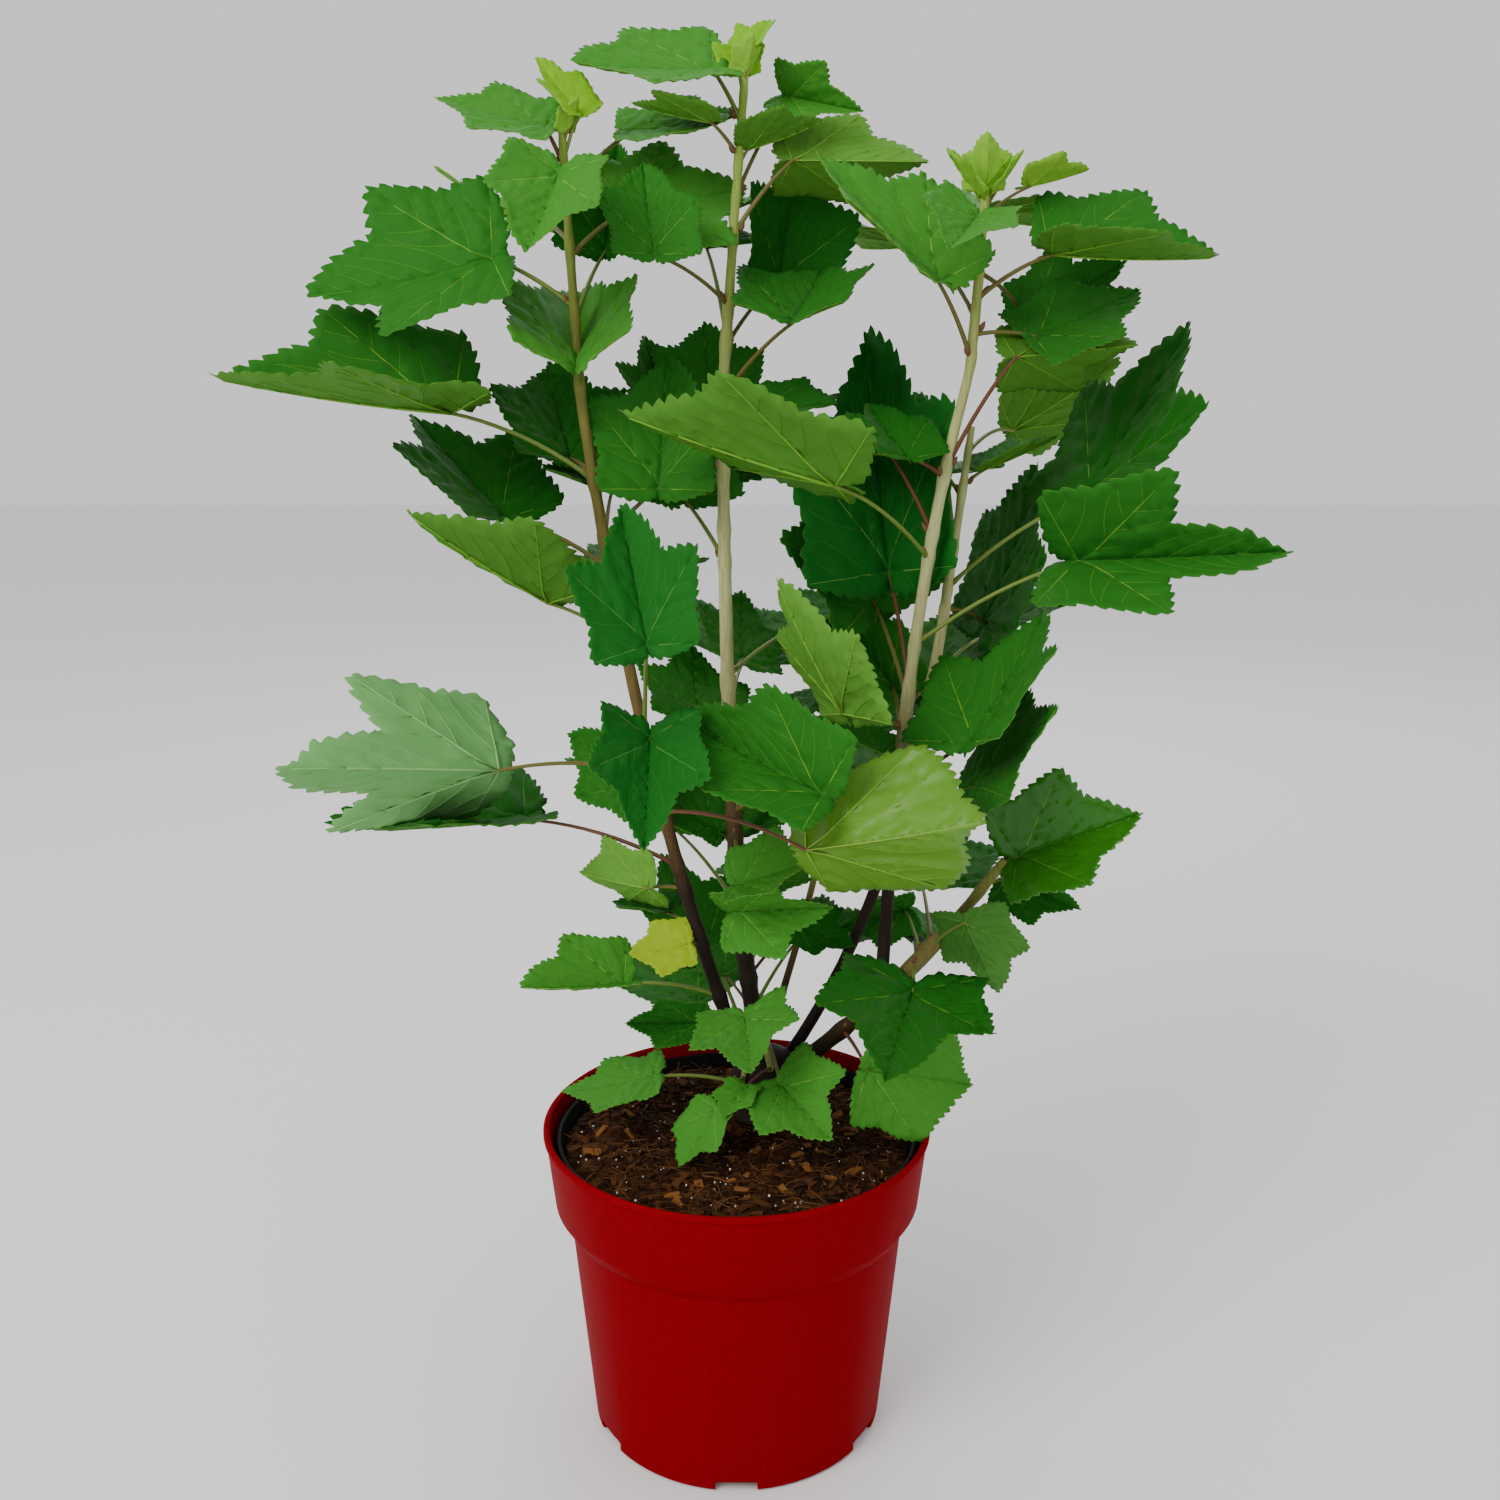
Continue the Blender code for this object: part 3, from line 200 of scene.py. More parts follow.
# Leaves of each mass: node height in mm, bearing, length in mm and rise of the stalk,
# then the blade's length in mm, heading, pitch, roll and fold, with the angles in degrees
LEAVES = {
    "left_top_foliage": (
        (597, -175, 18, 65, 46, 180, 10, -30, 10),
        (600, -10, 20, 70, 28, 165, 45, -25, 20),
        (592, -90, 22, 0, 50, -105, -45, -15, 30),
        (606, -40, 7, 60, 14, -40, 60, 0, 20),
        (541, 180, 40, 30, 80, 180, -15, -50, 20),
        (583, 150, 22, 25, 36, 150, 0, -15, 16),
        (586, 40, 44, 40, 50, 0, 5, 25, 10),
        (562, -10, 32, 35, 60, 35, 10, 45, 5),
        (535, 35, 34, 62, 50, 75, 65, 0, 38),
        (508, -90, 16, 25, 72, 95, 25, -5, 40),
    ),
    "left_upper_foliage": (
        (468, 180, 68, 25, 98, -160, 5, -20, 35),
        (428, 170, 54, 25, 70, 145, 35, -5, 20),
        (440, 10, 34, 45, 62, 85, 62, 0, 25),
    ),
    "left_back_foliage": ((470, 130, 18, 20, 62, 110, 38, 0, 20),),
    "left_middle_foliage": (
        (394, -170, 40, 30, 78, -140, 30, 10, 20),
        (350, -85, 74, 45, 60, 125, 70, -30, 35),
        (345, -85, 34, 20, 62, -90, -40, -5, 40),
        (331, -170, 72, 5, 102, -140, 10, 90, 50),
    ),
    "left_lower_foliage": (
        (312, -40, 86, 0, 82, -30, 15, -90, 45),
        (272, 170, 18, 5, 42, 150, 0, 65, 20),
        (243, -170, 7, 20, 28, 190, -10, -50, 16),
        (214, -170, 48, 15, 50, -165, 0, -20, 40),
    ),
    "left_lower_back_foliage": (
        (284, 175, 76, 15, 92, -160, 0, -5, 20),
        (305, 170, 20, 65, 44, 165, 30, -80, 20),
        (250, 150, 16, 20, 32, 150, 0, 0, 20),
    ),
    "middle_top_foliage": (
        (618, 175, 24, 60, 60, -165, -5, -30, 15),
        (628, 110, 12, 60, 22, 90, 60, 0, 20),
        (640, 60, 8, 70, 22, 60, 55, 0, 35),
        (630, -60, 8, 75, 16, -60, 60, 0, 35),
        (604, 140, 22, 45, 38, 165, 10, 0, 20),
        (600, 0, 8, 60, 34, 0, 15, 0, 40),
        (588, 15, 48, 60, 38, -30, -15, 80, 55),
        (572, -5, 40, 50, 60, 5, 0, -80, 55),
        (525, 55, 50, 35, 64, 45, 80, 75, 30),
        (503, -15, 46, 50, 62, 75, 25, 0, 25),
        (540, 40, 50, 25, 40, 40, 40, 0, 20),
        (543, 165, 42, 38, 46, 105, 62, 0, 20),
    ),
    "middle_upper_foliage": (
        (430, 150, 36, 50, 64, 120, 62, 0, 25),
        (470, 170, 30, 40, 46, 130, 50, 0, 20),
        (480, 100, 20, 45, 50, 100, 40, 0, 20),
        (490, 20, 26, 20, 32, 0, 0, 30, 20),
    ),
    "middle_foliage": (
        (372, 80, 32, 10, 46, 95, 35, 25, 5),
        (338, 145, 26, 35, 54, 95, 25, 15, 5),
    ),
    "middle_front_foliage": (
        (310, -30, 46, 20, 76, 155, 20, -55, 45),
        (298, -95, 26, -40, 42, -15, 20, 30, 25),
    ),
    "middle_lower_foliage": (
        (246, -120, 22, 55, 50, -20, 10, 90, 50),
        (268, 40, 12, 30, 30, 40, 10, 30, 20),
    ),
    "middle_lower_back_foliage": (
        (290, 175, 12, 30, 34, 175, 20, -30, 20),
        (222, 30, 34, 35, 32, -20, -15, 30, 15),
    ),
    "right_top_foliage": (
        (520, 170, 36, 65, 76, 160, 40, -20, 25),
        (552, 150, 20, 50, 34, 140, 50, 0, 20),
        (574, -105, 24, -10, 42, -115, -40, -20, 30),
        (582, 172, 6, 60, 24, 165, 50, 0, 30),
        (580, 15, 10, 60, 22, 20, 50, 0, 30),
        (586, -90, 5, 80, 22, -90, 70, 0, 25),
        (578, 10, 24, 34, 27, 5, 12, -20, 25),
        (545, -10, 36, 30, 70, 0, -5, 20, 35),
        (556, 55, 56, -20, 50, -15, 30, 50, 20),
        (530, 35, 38, 0, 54, 15, 20, 30, 5),
    ),
    "right_upper_foliage": (
        (432, -155, 60, 35, 98, 175, 15, 25, 15),
        (472, -10, 56, 60, 54, 5, 5, -90, 55),
    ),
    "right_middle_foliage": (
        (392, -10, 82, 30, 92, -30, 5, 75, 55),
        (352, -145, 40, 20, 68, -165, 60, 15, 10),
    ),
    "right_middle_back_foliage": (
        (372, 110, 56, 65, 114, 105, 70, -25, 50),
        (366, 110, 58, 45, 84, 175, 65, -55, 25),
        (345, 90, 50, 20, 56, 185, 55, -80, 55),
    ),
    "right_upper_back_foliage": ((468, 125, 22, 20, 44, 120, 30, 0, 20),),
    "back_right_top_foliage": (
        (415, -10, 76, 35, 92, 15, 55, 5, 5),
        (404, 55, 48, -15, 82, -5, 70, 20, 5),
        (462, -5, 12, 40, 38, 5, 20, 0, 20),
        (478, 45, 36, 15, 60, -35, 30, -75, 50),
    ),
    "right_lower_foliage": (
        (318, -10, 42, 45, 78, 45, 40, -15, 20),
        (300, -20, 44, 40, 64, -45, 40, 40, 5),
        (330, 165, 16, 40, 38, 160, 20, 0, 20),
        (312, 60, 18, 10, 28, 60, -10, 0, 30),
    ),
    "low_right_tip_foliage": (
        (285, 5, 14, 35, 62, -20, 25, 65, 35),
        (276, 55, 30, -5, 38, -25, -15, 80, 45),
    ),
    "low_right_foliage": (
        (236, -100, 16, -20, 80, -105, -10, -5, 20),
        (198, -70, 30, -10, 56, 20, -15, 95, 20),
        (245, -45, 30, 45, 44, 25, -65, -45, 20),
    ),
    "low_right_back_foliage": ((240, 95, 42, 10, 36, -165, -10, -80, 50),),
    "foot_left_foliage": (
        (168, -170, 46, 10, 46, 180, -15, -5, 5),
        (172, -115, 32, -5, 32, -135, -45, 5, 10),
    ),
    "foot_front_foliage": (
        (202, -110, 34, 20, 50, -85, -10, 15, 20),
        (188, -80, 38, -10, 50, -60, -10, 30, 25),
        (178, -120, 26, 0, 22, -120, -20, 0, 20),
    ),
    "foot_back_foliage": (
        (172, -145, 32, 50, 38, 180, 0, -65, 55),
        (200, 130, 26, 30, 32, 130, 10, 0, 20),
    ),
}

# Leaves that the front ones hide, grown by rule on the far side: the mass, its lowest and
# highest node in mm, and how many
HIDDEN = {
    "left_top_foliage": (515, 585, 2),
    "left_back_foliage": (400, 480, 3),
    "left_lower_back_foliage": (255, 330, 2),
    "middle_top_foliage": (510, 590, 2),
    "middle_upper_foliage": (430, 490, 2),
    "middle_foliage": (330, 385, 3),
    "middle_lower_back_foliage": (225, 290, 3),
    "right_top_foliage": (525, 575, 2),
    "right_upper_back_foliage": (430, 480, 2),
    "right_middle_back_foliage": (345, 400, 2),
    "back_right_foliage": (290, 380, 4),
    "back_right_top_foliage": (420, 470, 2),
    "back_shoot_foliage": (305, 365, 4),
    "low_right_back_foliage": (225, 250, 3),
    "foot_back_foliage": (175, 200, 3),
}
HIDDEN_BEARING = (35.0, 145.0)
HIDDEN_STALK = (26.0, 58.0)
HIDDEN_RISE = (15.0, 45.0)
HIDDEN_BLADE = (48.0, 78.0)
HIDDEN_PITCH = (-10.0, 40.0)
HIDDEN_TURN = (-25.0, 25.0)
HIDDEN_ROLL = (-15.0, 15.0)
HIDDEN_FOLD = 18
HIDDEN_TRIES = 12
HIDDEN_SEEN = 0.12

# Where the photo was taken from: across, back and up in mm
VIEWPOINT = (6, -691, 509)

# A leaf that would touch something tries these moves: mm away from the viewpoint, which keeps
# its place in the photo, and degrees of bearing and rise, the smallest first
SLIDES = (0, 6, -6, 12, -12, 18, -18, 25, -25, 32, -32, 40, -40)
TURNS = (0, 5, -5, 10, -10, 15, -15, 20, -20)
LIFTS = (0, 5, -5, 10, -10, 15, -15)
SLIDE_COST = 0.25
MOST_COST = 30.0

# The space of the whole crown, in mm from the pot's axis and its underside
SPACE_ACROSS = (-232, 252)
SPACE_BACK = (-140, 150)
SPACE_UP = (150, 664)


# Leaf template: bearings from the midrib and reaches, as shares of the blade's length
LEAF_CORNERS = LEAF_OUTLINE + ((172.0, 0.07),)
CORNER_SPREAD = 0.05
SINUS_SPREAD = (1.0, 1.12)
EDGE_BULGE = 0.045
MARGIN_STEPS = 24
LOBE_BEARINGS = (0.0, 46.0, 100.0)
SINUSES = (27.0, 72.0, 170.0)
TOOTH_OUT = 0.019
TOOTH_LEAN = 0.006
TOOTH_SHAPE = ((0.0, -0.35), (0.45, 0.65), (0.8, 1.0))
VEIN_STEP = 0.05
VEIN_FORK = 44.0
VEIN_SPREAD = 6.0
VEIN_CURVE = 4.0
VEIN_SHY = 0.035
QUILT = 0.020
QUILT_WIDE = 0.034
NETWORK = 0.009
NETWORK_CELLS = 9.0
FINE = {"teeth": 52, "spacing": 0.165, "grid": 0.045}
COARSE = {"teeth": 28, "spacing": 0.24, "grid": 0.08}
FINE_TEMPLATES = 5
COARSE_TEMPLATES = 3
COARSE_BELOW = 34.0 * MM

# Leaf sheet
SHEET_THICK = 0.35 * MM
FOLD_SOFT = 0.035
RIPPLE = (0.008, 0.022)
RIPPLE_WAVES = (4, 7)
SWAY = 0.06
VEIN_WIDE = 0.0105
SIDE_VEIN_WIDE = 0.0056
VEIN_ABOVE = 0.0016
VEIN_BELOW = 0.0062
VEIN_KEEL = 0.6

# Stalks, buds and bark
STALK_SEGMENTS = 10
STALK_AROUND = 6
STALK_FOOT_SWELL = 1.45
BARK_AROUND = 16
BARK_STEP = 2.5 * MM
BARK_RELIEF = 0.055
NODE_SWELL = 0.20
NODE_LENGTH = 3.5 * MM
BUD_LENGTH = 5.0 * MM
BUD_R = 1.25 * MM

# Soil, chips, fibres, and pale grit that is partly perlite and partly painted highlights for the soil's wet glints
SOIL_RINGS = 46
SOIL_STEPS = 120
SOIL_RELIEF = 2.2 * MM
SOIL_GRAIN = 0.9 * MM
CHIPS = 300
FIBRES = 700
CRUMBS = 1500
GRIT_GLINTS = 170

POT_LOOK_STEPS = 160

# Camera of the photo, worked out from the pot's outline; the image is square
CAMERA_AT = (0.0065, -0.691, 0.509)
CAMERA_DOWN = 13.48
CAMERA_LENS = 36.6
SENSOR = 36.0

# Plain leaf colours, linear: the upper face, the lower face, the main veins and the side veins
LEAF_TONES = {
    "dark": ((0.014, 0.112, 0.008), (0.042, 0.165, 0.012), (0.110, 0.290, 0.025), (0.042, 0.175, 0.010)),
    "mid": ((0.023, 0.148, 0.014), (0.072, 0.215, 0.024), (0.170, 0.380, 0.035), (0.070, 0.250, 0.016)),
    "deep": ((0.013, 0.122, 0.0135), (0.060, 0.190, 0.030), (0.100, 0.290, 0.050), (0.036, 0.175, 0.030)),
    "fresh": ((0.050, 0.232, 0.024), (0.110, 0.290, 0.035), (0.230, 0.460, 0.055), (0.110, 0.340, 0.030)),
    "young": ((0.190, 0.460, 0.012), (0.220, 0.460, 0.040), (0.340, 0.600, 0.060), (0.260, 0.530, 0.035)),
    "pale": ((0.034, 0.165, 0.010), (0.150, 0.380, 0.115), (0.250, 0.500, 0.170), (0.200, 0.440, 0.140)),
    "olive": ((0.034, 0.165, 0.008), (0.105, 0.260, 0.020), (0.230, 0.400, 0.060), (0.150, 0.320, 0.035)),
    "shiny": ((0.022, 0.150, 0.005), (0.085, 0.240, 0.035), (0.150, 0.370, 0.035), (0.055, 0.230, 0.014)),
    "yellow": ((0.290, 0.420, 0.014), (0.330, 0.420, 0.050), (0.450, 0.500, 0.080), (0.420, 0.470, 0.040)),
}
TONES = tuple(LEAF_TONES)
LEAF_GLOSS = 0.04
SHINY_GLOSS = 0.30
SHINY_TONES = ("shiny", "olive")
STALK_COLOURS = {"green": (0.150, 0.220, 0.035), "olive": (0.150, 0.130, 0.030), "red": (0.130, 0.050, 0.022)}

# Tones of whole masses, then of single leaves by the mass and the height of the leaf's node in mm
MASS_TONES = {
    "left_top_foliage": "fresh",
    "middle_top_foliage": "mid",
    "right_top_foliage": "fresh",
    "foot_left_foliage": "fresh",
    "foot_front_foliage": "fresh",
    "foot_back_foliage": "mid",
    "middle_lower_foliage": "fresh",
    "middle_front_foliage": "mid",
    "middle_foliage": "mid",
    "left_lower_foliage": "fresh",
    "right_lower_foliage": "mid",
}
LEAF_TONE = {
    ("left_top_foliage", 597): "fresh",
    ("left_top_foliage", 600): "young",
    ("left_top_foliage", 606): "young",
    ("left_top_foliage", 541): "mid",
    ("left_top_foliage", 535): "dark",
    ("left_top_foliage", 508): "fresh",
    ("middle_top_foliage", 618): "fresh",
    ("middle_top_foliage", 604): "fresh",
    ("middle_top_foliage", 600): "mid",
    ("middle_top_foliage", 503): "mid",
    ("middle_top_foliage", 628): "young",
    ("middle_top_foliage", 640): "young",
    ("middle_top_foliage", 630): "young",
    ("middle_top_foliage", 588): "fresh",
    ("middle_top_foliage", 572): "fresh",
    ("middle_top_foliage", 525): "dark",
    ("right_top_foliage", 582): "young",
    ("right_top_foliage", 580): "young",
    ("right_top_foliage", 586): "young",
    ("right_top_foliage", 578): "young",
    ("right_top_foliage", 545): "mid",
    ("right_top_foliage", 556): "mid",
    ("right_top_foliage", 530): "mid",
    ("left_upper_foliage", 468): "mid",
    ("left_upper_foliage", 428): "dark",
    ("left_middle_foliage", 394): "mid",
    ("left_middle_foliage", 350): "deep",
    ("left_middle_foliage", 345): "deep",
    ("left_middle_foliage", 331): "pale",
    ("left_lower_foliage", 312): "olive",
    ("left_lower_foliage", 243): "yellow",
    ("left_lower_back_foliage", 284): "dark",
    ("right_upper_foliage", 432): "mid",
    ("right_middle_foliage", 392): "mid",
    ("right_middle_foliage", 352): "fresh",
    ("right_middle_back_foliage", 372): "deep",
    ("right_lower_foliage", 318): "mid",
    ("back_right_top_foliage", 415): "dark",
    ("low_right_foliage", 236): "dark",
    ("low_right_foliage", 198): "fresh",
    ("low_right_tip_foliage", 285): "shiny",
    ("low_right_tip_foliage", 276): "mid",
    ("low_right_foliage", 245): "deep",
    ("middle_front_foliage", 298): "fresh",
    ("middle_lower_back_foliage", 222): "dark",
    ("low_right_back_foliage", 240): "mid",
}

# Leaves of another cut: how far their first sinus reaches, as a share of the usual
CUTS = {
    ("left_middle_foliage", 331): 0.80,
    ("right_middle_foliage", 392): 0.80,
    ("left_lower_foliage", 312): 1.28,
    ("low_right_foliage", 198): 1.20,
}


def aim(bearing, rise):
    """Unit vector at a bearing from +X and a rise above level, both in degrees."""
    turn = math.radians(bearing)
    lift = math.radians(rise)
    return Vector((math.cos(lift) * math.cos(turn), math.cos(lift) * math.sin(turn), math.sin(lift)))


def in_metres(point):
    """A point given in millimetres."""
    return Vector(point) * MM


def tube(points, radii, sides):
    """Vertices and faces of a closed tube along points, its rings square to the path."""
    verts = []
    faces = []
    side = Vector((1.0, 0.0, 0.0))
    last = len(points) - 1
    for index, (point, radius) in enumerate(zip(points, radii)):
        along = points[min(index + 1, last)] - points[max(index - 1, 0)]
        along.normalize()
        side = side - along * side.dot(along)
        if side.length < 0.1:
            side = along.cross(Vector((0.0, 1.0, 0.0)))
        side.normalize()
        other = along.cross(side)
        for step in range(sides):
            angle = math.tau * step / sides
            verts.append(point + (side * math.cos(angle) + other * math.sin(angle)) * radius)
    for ring in range(last):
        low = ring * sides
        for step in range(sides):
            nxt = (step + 1) % sides
            faces.append((low + step, low + nxt, low + sides + nxt, low + sides + step))
    faces.append(tuple(reversed(range(sides))))
    faces.append(tuple(last * sides + step for step in range(sides)))
    return verts, faces


def lathe(outline, steps):
    """Vertices and faces of a closed outline of (radius, height) turned about the Z axis.

    Outline points at radius 0 stay single. The outline runs round the solid's section.
    """
    verts = []
    rows = []
    for radius, height in outline:
        if radius < 1e-9:
            rows.append([len(verts)] * steps)
            verts.append(Vector((0.0, 0.0, height)))
            continue
        rows.append(list(range(len(verts), len(verts) + steps)))
        for step in range(steps):
            angle = math.tau * step / steps
            verts.append(Vector((radius * math.cos(angle), radius * math.sin(angle), height)))
    faces = []
    for index, row in enumerate(rows):
        above = rows[(index + 1) % len(rows)]
        for step in range(steps):
            nxt = (step + 1) % steps
            corners = (row[step], row[nxt], above[nxt], above[step])
            loop = [corner for place, corner in enumerate(corners) if corner not in corners[:place]]
            if len(loop) > 2:
                faces.append(tuple(loop))
    return verts, faces


def blade_frame(heading, pitch, roll):
    """Midrib, side and top directions of a blade."""
    midrib = aim(heading, pitch)
    top = aim(heading, pitch + 90.0)
    spin = Matrix.Rotation(math.radians(roll), 3, midrib)
    top = spin @ top
    return midrib, top.cross(midrib), top


def blade(heart, frame, length, fold, thick):
    """Vertices and faces of a folded, lobed blade whose midrib starts at heart."""
    midrib, side, top = frame
    bend = math.radians(fold)
    corners = [(-bearing, reach) for bearing, reach in reversed(LEAF_OUTLINE[1:])] + list(LEAF_OUTLINE)
    places = [(FAN_CENTRE, 0.0)]
    for bearing, reach in corners + [(180.0, HEART_NOTCH)]:
        turn = math.radians(bearing)
        places.append((reach * math.cos(turn), reach * math.sin(turn)))
    upper = []
    lower = []
    for along, across in places:
        half = 0.0 if abs(across) < 1e-6 else math.copysign(1.0, across)
        out = abs(across)
        droop = LEAF_CUP * (along * along + out * out) - LEAF_CURL * max(along, 0.0) ** 2
        flat = out * math.cos(bend)
        height = out * math.sin(bend) - droop
        middle = heart + (midrib * along + side * half * flat + top * height) * length
        outward = top * math.cos(bend * abs(half)) - side * half * math.sin(bend)
        upper.append(middle + outward * thick * 0.5)
        lower.append(middle - outward * thick * 0.5)
    count = len(places)
    verts = upper + [lower[0]]
    faces = []
    for step in range(1, count):
        nxt = step % (count - 1) + 1
        faces.append((0, step, nxt))
        faces.append((count, nxt, step))
    return verts, faces


def stalk_points(root, heart, midrib, length, blade_length):
    """The stalk's path: up and over from its stem to the blade, then on along the midrib."""
    crest = (root + heart) * 0.5 + Vector((0.0, 0.0, STALK_BOW * length))
    points = []
    for step in range(STALK_RINGS):
        share = step / STALK_RINGS
        points.append(root * (1 - share) ** 2 + crest * 2 * share * (1 - share) + heart * share**2)
    points.append(heart)
    points.append(heart + midrib * STALK_SUNK * blade_length)
    return points


def stalk_radii():
    """Radii along a stalk, one for each of its points."""
    radii = [STALK_R + (STALK_END_R - STALK_R) * step / STALK_RINGS for step in range(STALK_RINGS + 1)]
    return radii + [STALK_END_R * 0.5]


class Limb:
    """A tapering limb with a path that can be asked for a point at any height."""

    def __init__(self, points, radii):
        self.points = points
        self.radii = radii

    def at_share(self, share):
        """Point and radius at a share of the limb's length, counted in rings."""
        place = min(max(share, 0.0), 1.0) * (len(self.points) - 1)
        index = min(int(place), len(self.points) - 2)
        part = place - index
        point = self.points[index].lerp(self.points[index + 1], part)
        return point, self.radii[index] * (1 - part) + self.radii[index + 1] * part

    def at_height(self, height):
        """Point and radius where the limb passes a height."""
        low = self.points[0].z
        high = self.points[-1].z
        for index in range(len(self.points) - 1):
            here = self.points[index].z
            above = self.points[index + 1].z
            if height <= above or index == len(self.points) - 2:
                part = min(max((height - here) / (above - here), 0.0), 1.0)
                break
        point = self.points[index].lerp(self.points[index + 1], part)
        radius = self.radii[index] * (1 - part) + self.radii[index + 1] * part
        if height > high:
            point = point + Vector((0.0, 0.0, height - high))
        if height < low:
            point = point - Vector((0.0, 0.0, low - height))
        return point, radius

    def solid(self, sides, grow=0.0):
        """The limb's closed tube, thicker by grow."""
        return tube(self.points, [radius + grow for radius in self.radii], sides)


def cane_path(foot, tip, early):
    """Points from foot to tip, gaining height evenly and leaning out early."""
    points = []
    for ring in range(LIMB_RINGS):
        share = ring / (LIMB_RINGS - 1)
        lean = (1.0 - math.exp(-early * share)) / (1.0 - math.exp(-early))
        point = foot.lerp(tip, lean)
        point.z = foot.z + (tip.z - foot.z) * share
        points.append(point)
    return points


def root_crown():
    """The short woody foot, flared at its flat cut on the soil and domed at its top."""
    points = []
    radii = []
    foot = SOIL_TOP + GAP
    for ring in range(CROWN_RINGS):
        share = ring / (CROWN_RINGS - 1)
        height = CROWN_H * math.sin(share * math.pi / 2)
        points.append(Vector((CROWN_X, CROWN_Y, foot + height)))
        flare = (CROWN_FOOT_R - CROWN_TOP_R) * math.exp(-height / CROWN_FLARE_H)
        dome = math.sqrt(max(1.0 - share**6, 0.02))
        radii.append(CROWN_TOP_R * dome + flare)
    return Limb(points, radii)


def grow_limbs():
    """The root crown and every cane, by name."""
    limbs = {"root_crown": root_crown()}
    for name, (foot, tip, early, foot_r, tip_r) in CANES.items():
        start = limbs[foot[0]].at_share(foot[1])[0] if isinstance(foot[0], str) else in_metres(foot)
        points = cane_path(start, in_metres(tip), early)
        shares = [ring / (LIMB_RINGS - 1) for ring in range(LIMB_RINGS)]
        radii = [(foot_r + (tip_r - foot_r) * math.sqrt(share)) * MM for share in shares]
        limbs[name] = Limb(points, radii)
    return limbs


def leader_stem(cane, tip, end_r):
    """A leading shoot that goes on from a cane's tip, one gap clear of it."""
    start = cane.points[-1]
    along = (start - cane.points[-2]).normalized()
    start = start + along * GAP
    tip = in_metres(tip)
    foot_r = cane.radii[-1]
    shares = [ring / LEADER_RINGS for ring in range(LEADER_RINGS + 1)]
    points = [start.lerp(tip, share) + along * share * (1 - share) * LEADER_BOW for share in shares]
    return Limb(points, [foot_r + (end_r * MM - foot_r) * share for share in shares])


def side_stem(limb, bearing, lowest, highest):
    """A side shoot from inside a limb, out of its flank and up beside it."""
    out = aim(bearing, 0.0)
    heights = [lowest, lowest + SPUR_TAIL]
    steps = max(1, round((highest - lowest) / STEM_STEP))
    heights += [lowest + SPUR_TAIL + (highest - lowest) * step / steps for step in range(1, steps + 1)]
    root, _ = limb.at_height(lowest - SPUR_TAIL)
    points = [root]
    for height in heights:
        middle, radius = limb.at_height(height)
        points.append(middle + out * (radius + SPUR_STAND_OFF))
    count = len(points)
    radii = [SPUR_R + (SPUR_END_R - SPUR_R) * index / (count - 1) for index in range(count)]
    return Limb(points, radii)


def grow_stems(limbs):
    """The stem of every mass of foliage, by the mass's name."""
    stems = {}
    for name, (cane, tip, end_r) in LEADERS.items():
        stems[name] = leader_stem(limbs[cane], tip, end_r)
    for name, (limb, bearing) in SIDE_SHOOTS.items():
        nodes = [row[0] for row in LEAVES.get(name, ())]
        if name in HIDDEN:
            nodes += HIDDEN[name][:2]
        stems[name] = side_stem(limbs[limb], bearing, min(nodes) * MM, max(nodes) * MM)
    return stems


def leaf_solids(stem, row, grow=0.0):
    """A leaf's stalk and blade as two closed solids, from one row of the leaf plan."""
    node, bearing, stalk, rise, length, heading, pitch, roll, fold = row
    root, _ = stem.at_height(node * MM)
    heart = root + aim(bearing, rise) * stalk * MM
    frame = blade_frame(heading, pitch, roll)
    length = length * MM
    points = stalk_points(root, heart, frame[0], stalk * MM, length)
    radii = [radius + grow for radius in stalk_radii()]
    thick = max(LEAF_THICK_MIN, LEAF_THICK * length) + 2 * grow
    return tube(points, radii, STALK_SIDES), blade(heart, frame, length, fold, thick)


def turned(row, turn, lift):
    """A row of the leaf plan with its stalk and blade turned and lifted together."""
    node, bearing, stalk, rise, length, heading, pitch, roll, fold = row
    return (node, bearing + turn, stalk, rise + lift, length, heading + turn, pitch + lift, roll, fold)


def slid(stem, row, slide):
    """A row with its blade moved away from the viewpoint and enlarged to look the same from there."""
    node, bearing, stalk, rise, length, *angles = row
    root, _ = stem.at_height(node * MM)
    eye = in_metres(VIEWPOINT)
    sight = root + aim(bearing, rise) * stalk * MM - eye
    growth = 1.0 + slide * MM / sight.length
    out = eye + sight * growth - root
    bearing = math.degrees(math.atan2(out.y, out.x))
    rise = math.degrees(math.asin(out.z / out.length))
    return (node, bearing, out.length / MM, rise, length * growth, *angles)


def all_moves():
    """Every mix of a slide, a turn and a lift, the smallest first."""
    priced = []
    for slide, turn, lift in itertools.product(SLIDES, TURNS, LIFTS):
        price = SLIDE_COST * abs(slide) + abs(turn) + abs(lift)
        if price <= MOST_COST:
            priced.append((price, slide, turn, lift))
    return [move for _, *move in sorted(priced, key=lambda entry: entry[0])]


MOVES = all_moves()


def inside_space(verts):
    """Whether every point keeps to the crown's space."""
    low = in_metres([limits[0] for limits in (SPACE_ACROSS, SPACE_BACK, SPACE_UP)])
    high = in_metres([limits[1] for limits in (SPACE_ACROSS, SPACE_BACK, SPACE_UP)])
    return all(low[axis] <= vert[axis] <= high[axis] for vert in verts for axis in range(3))


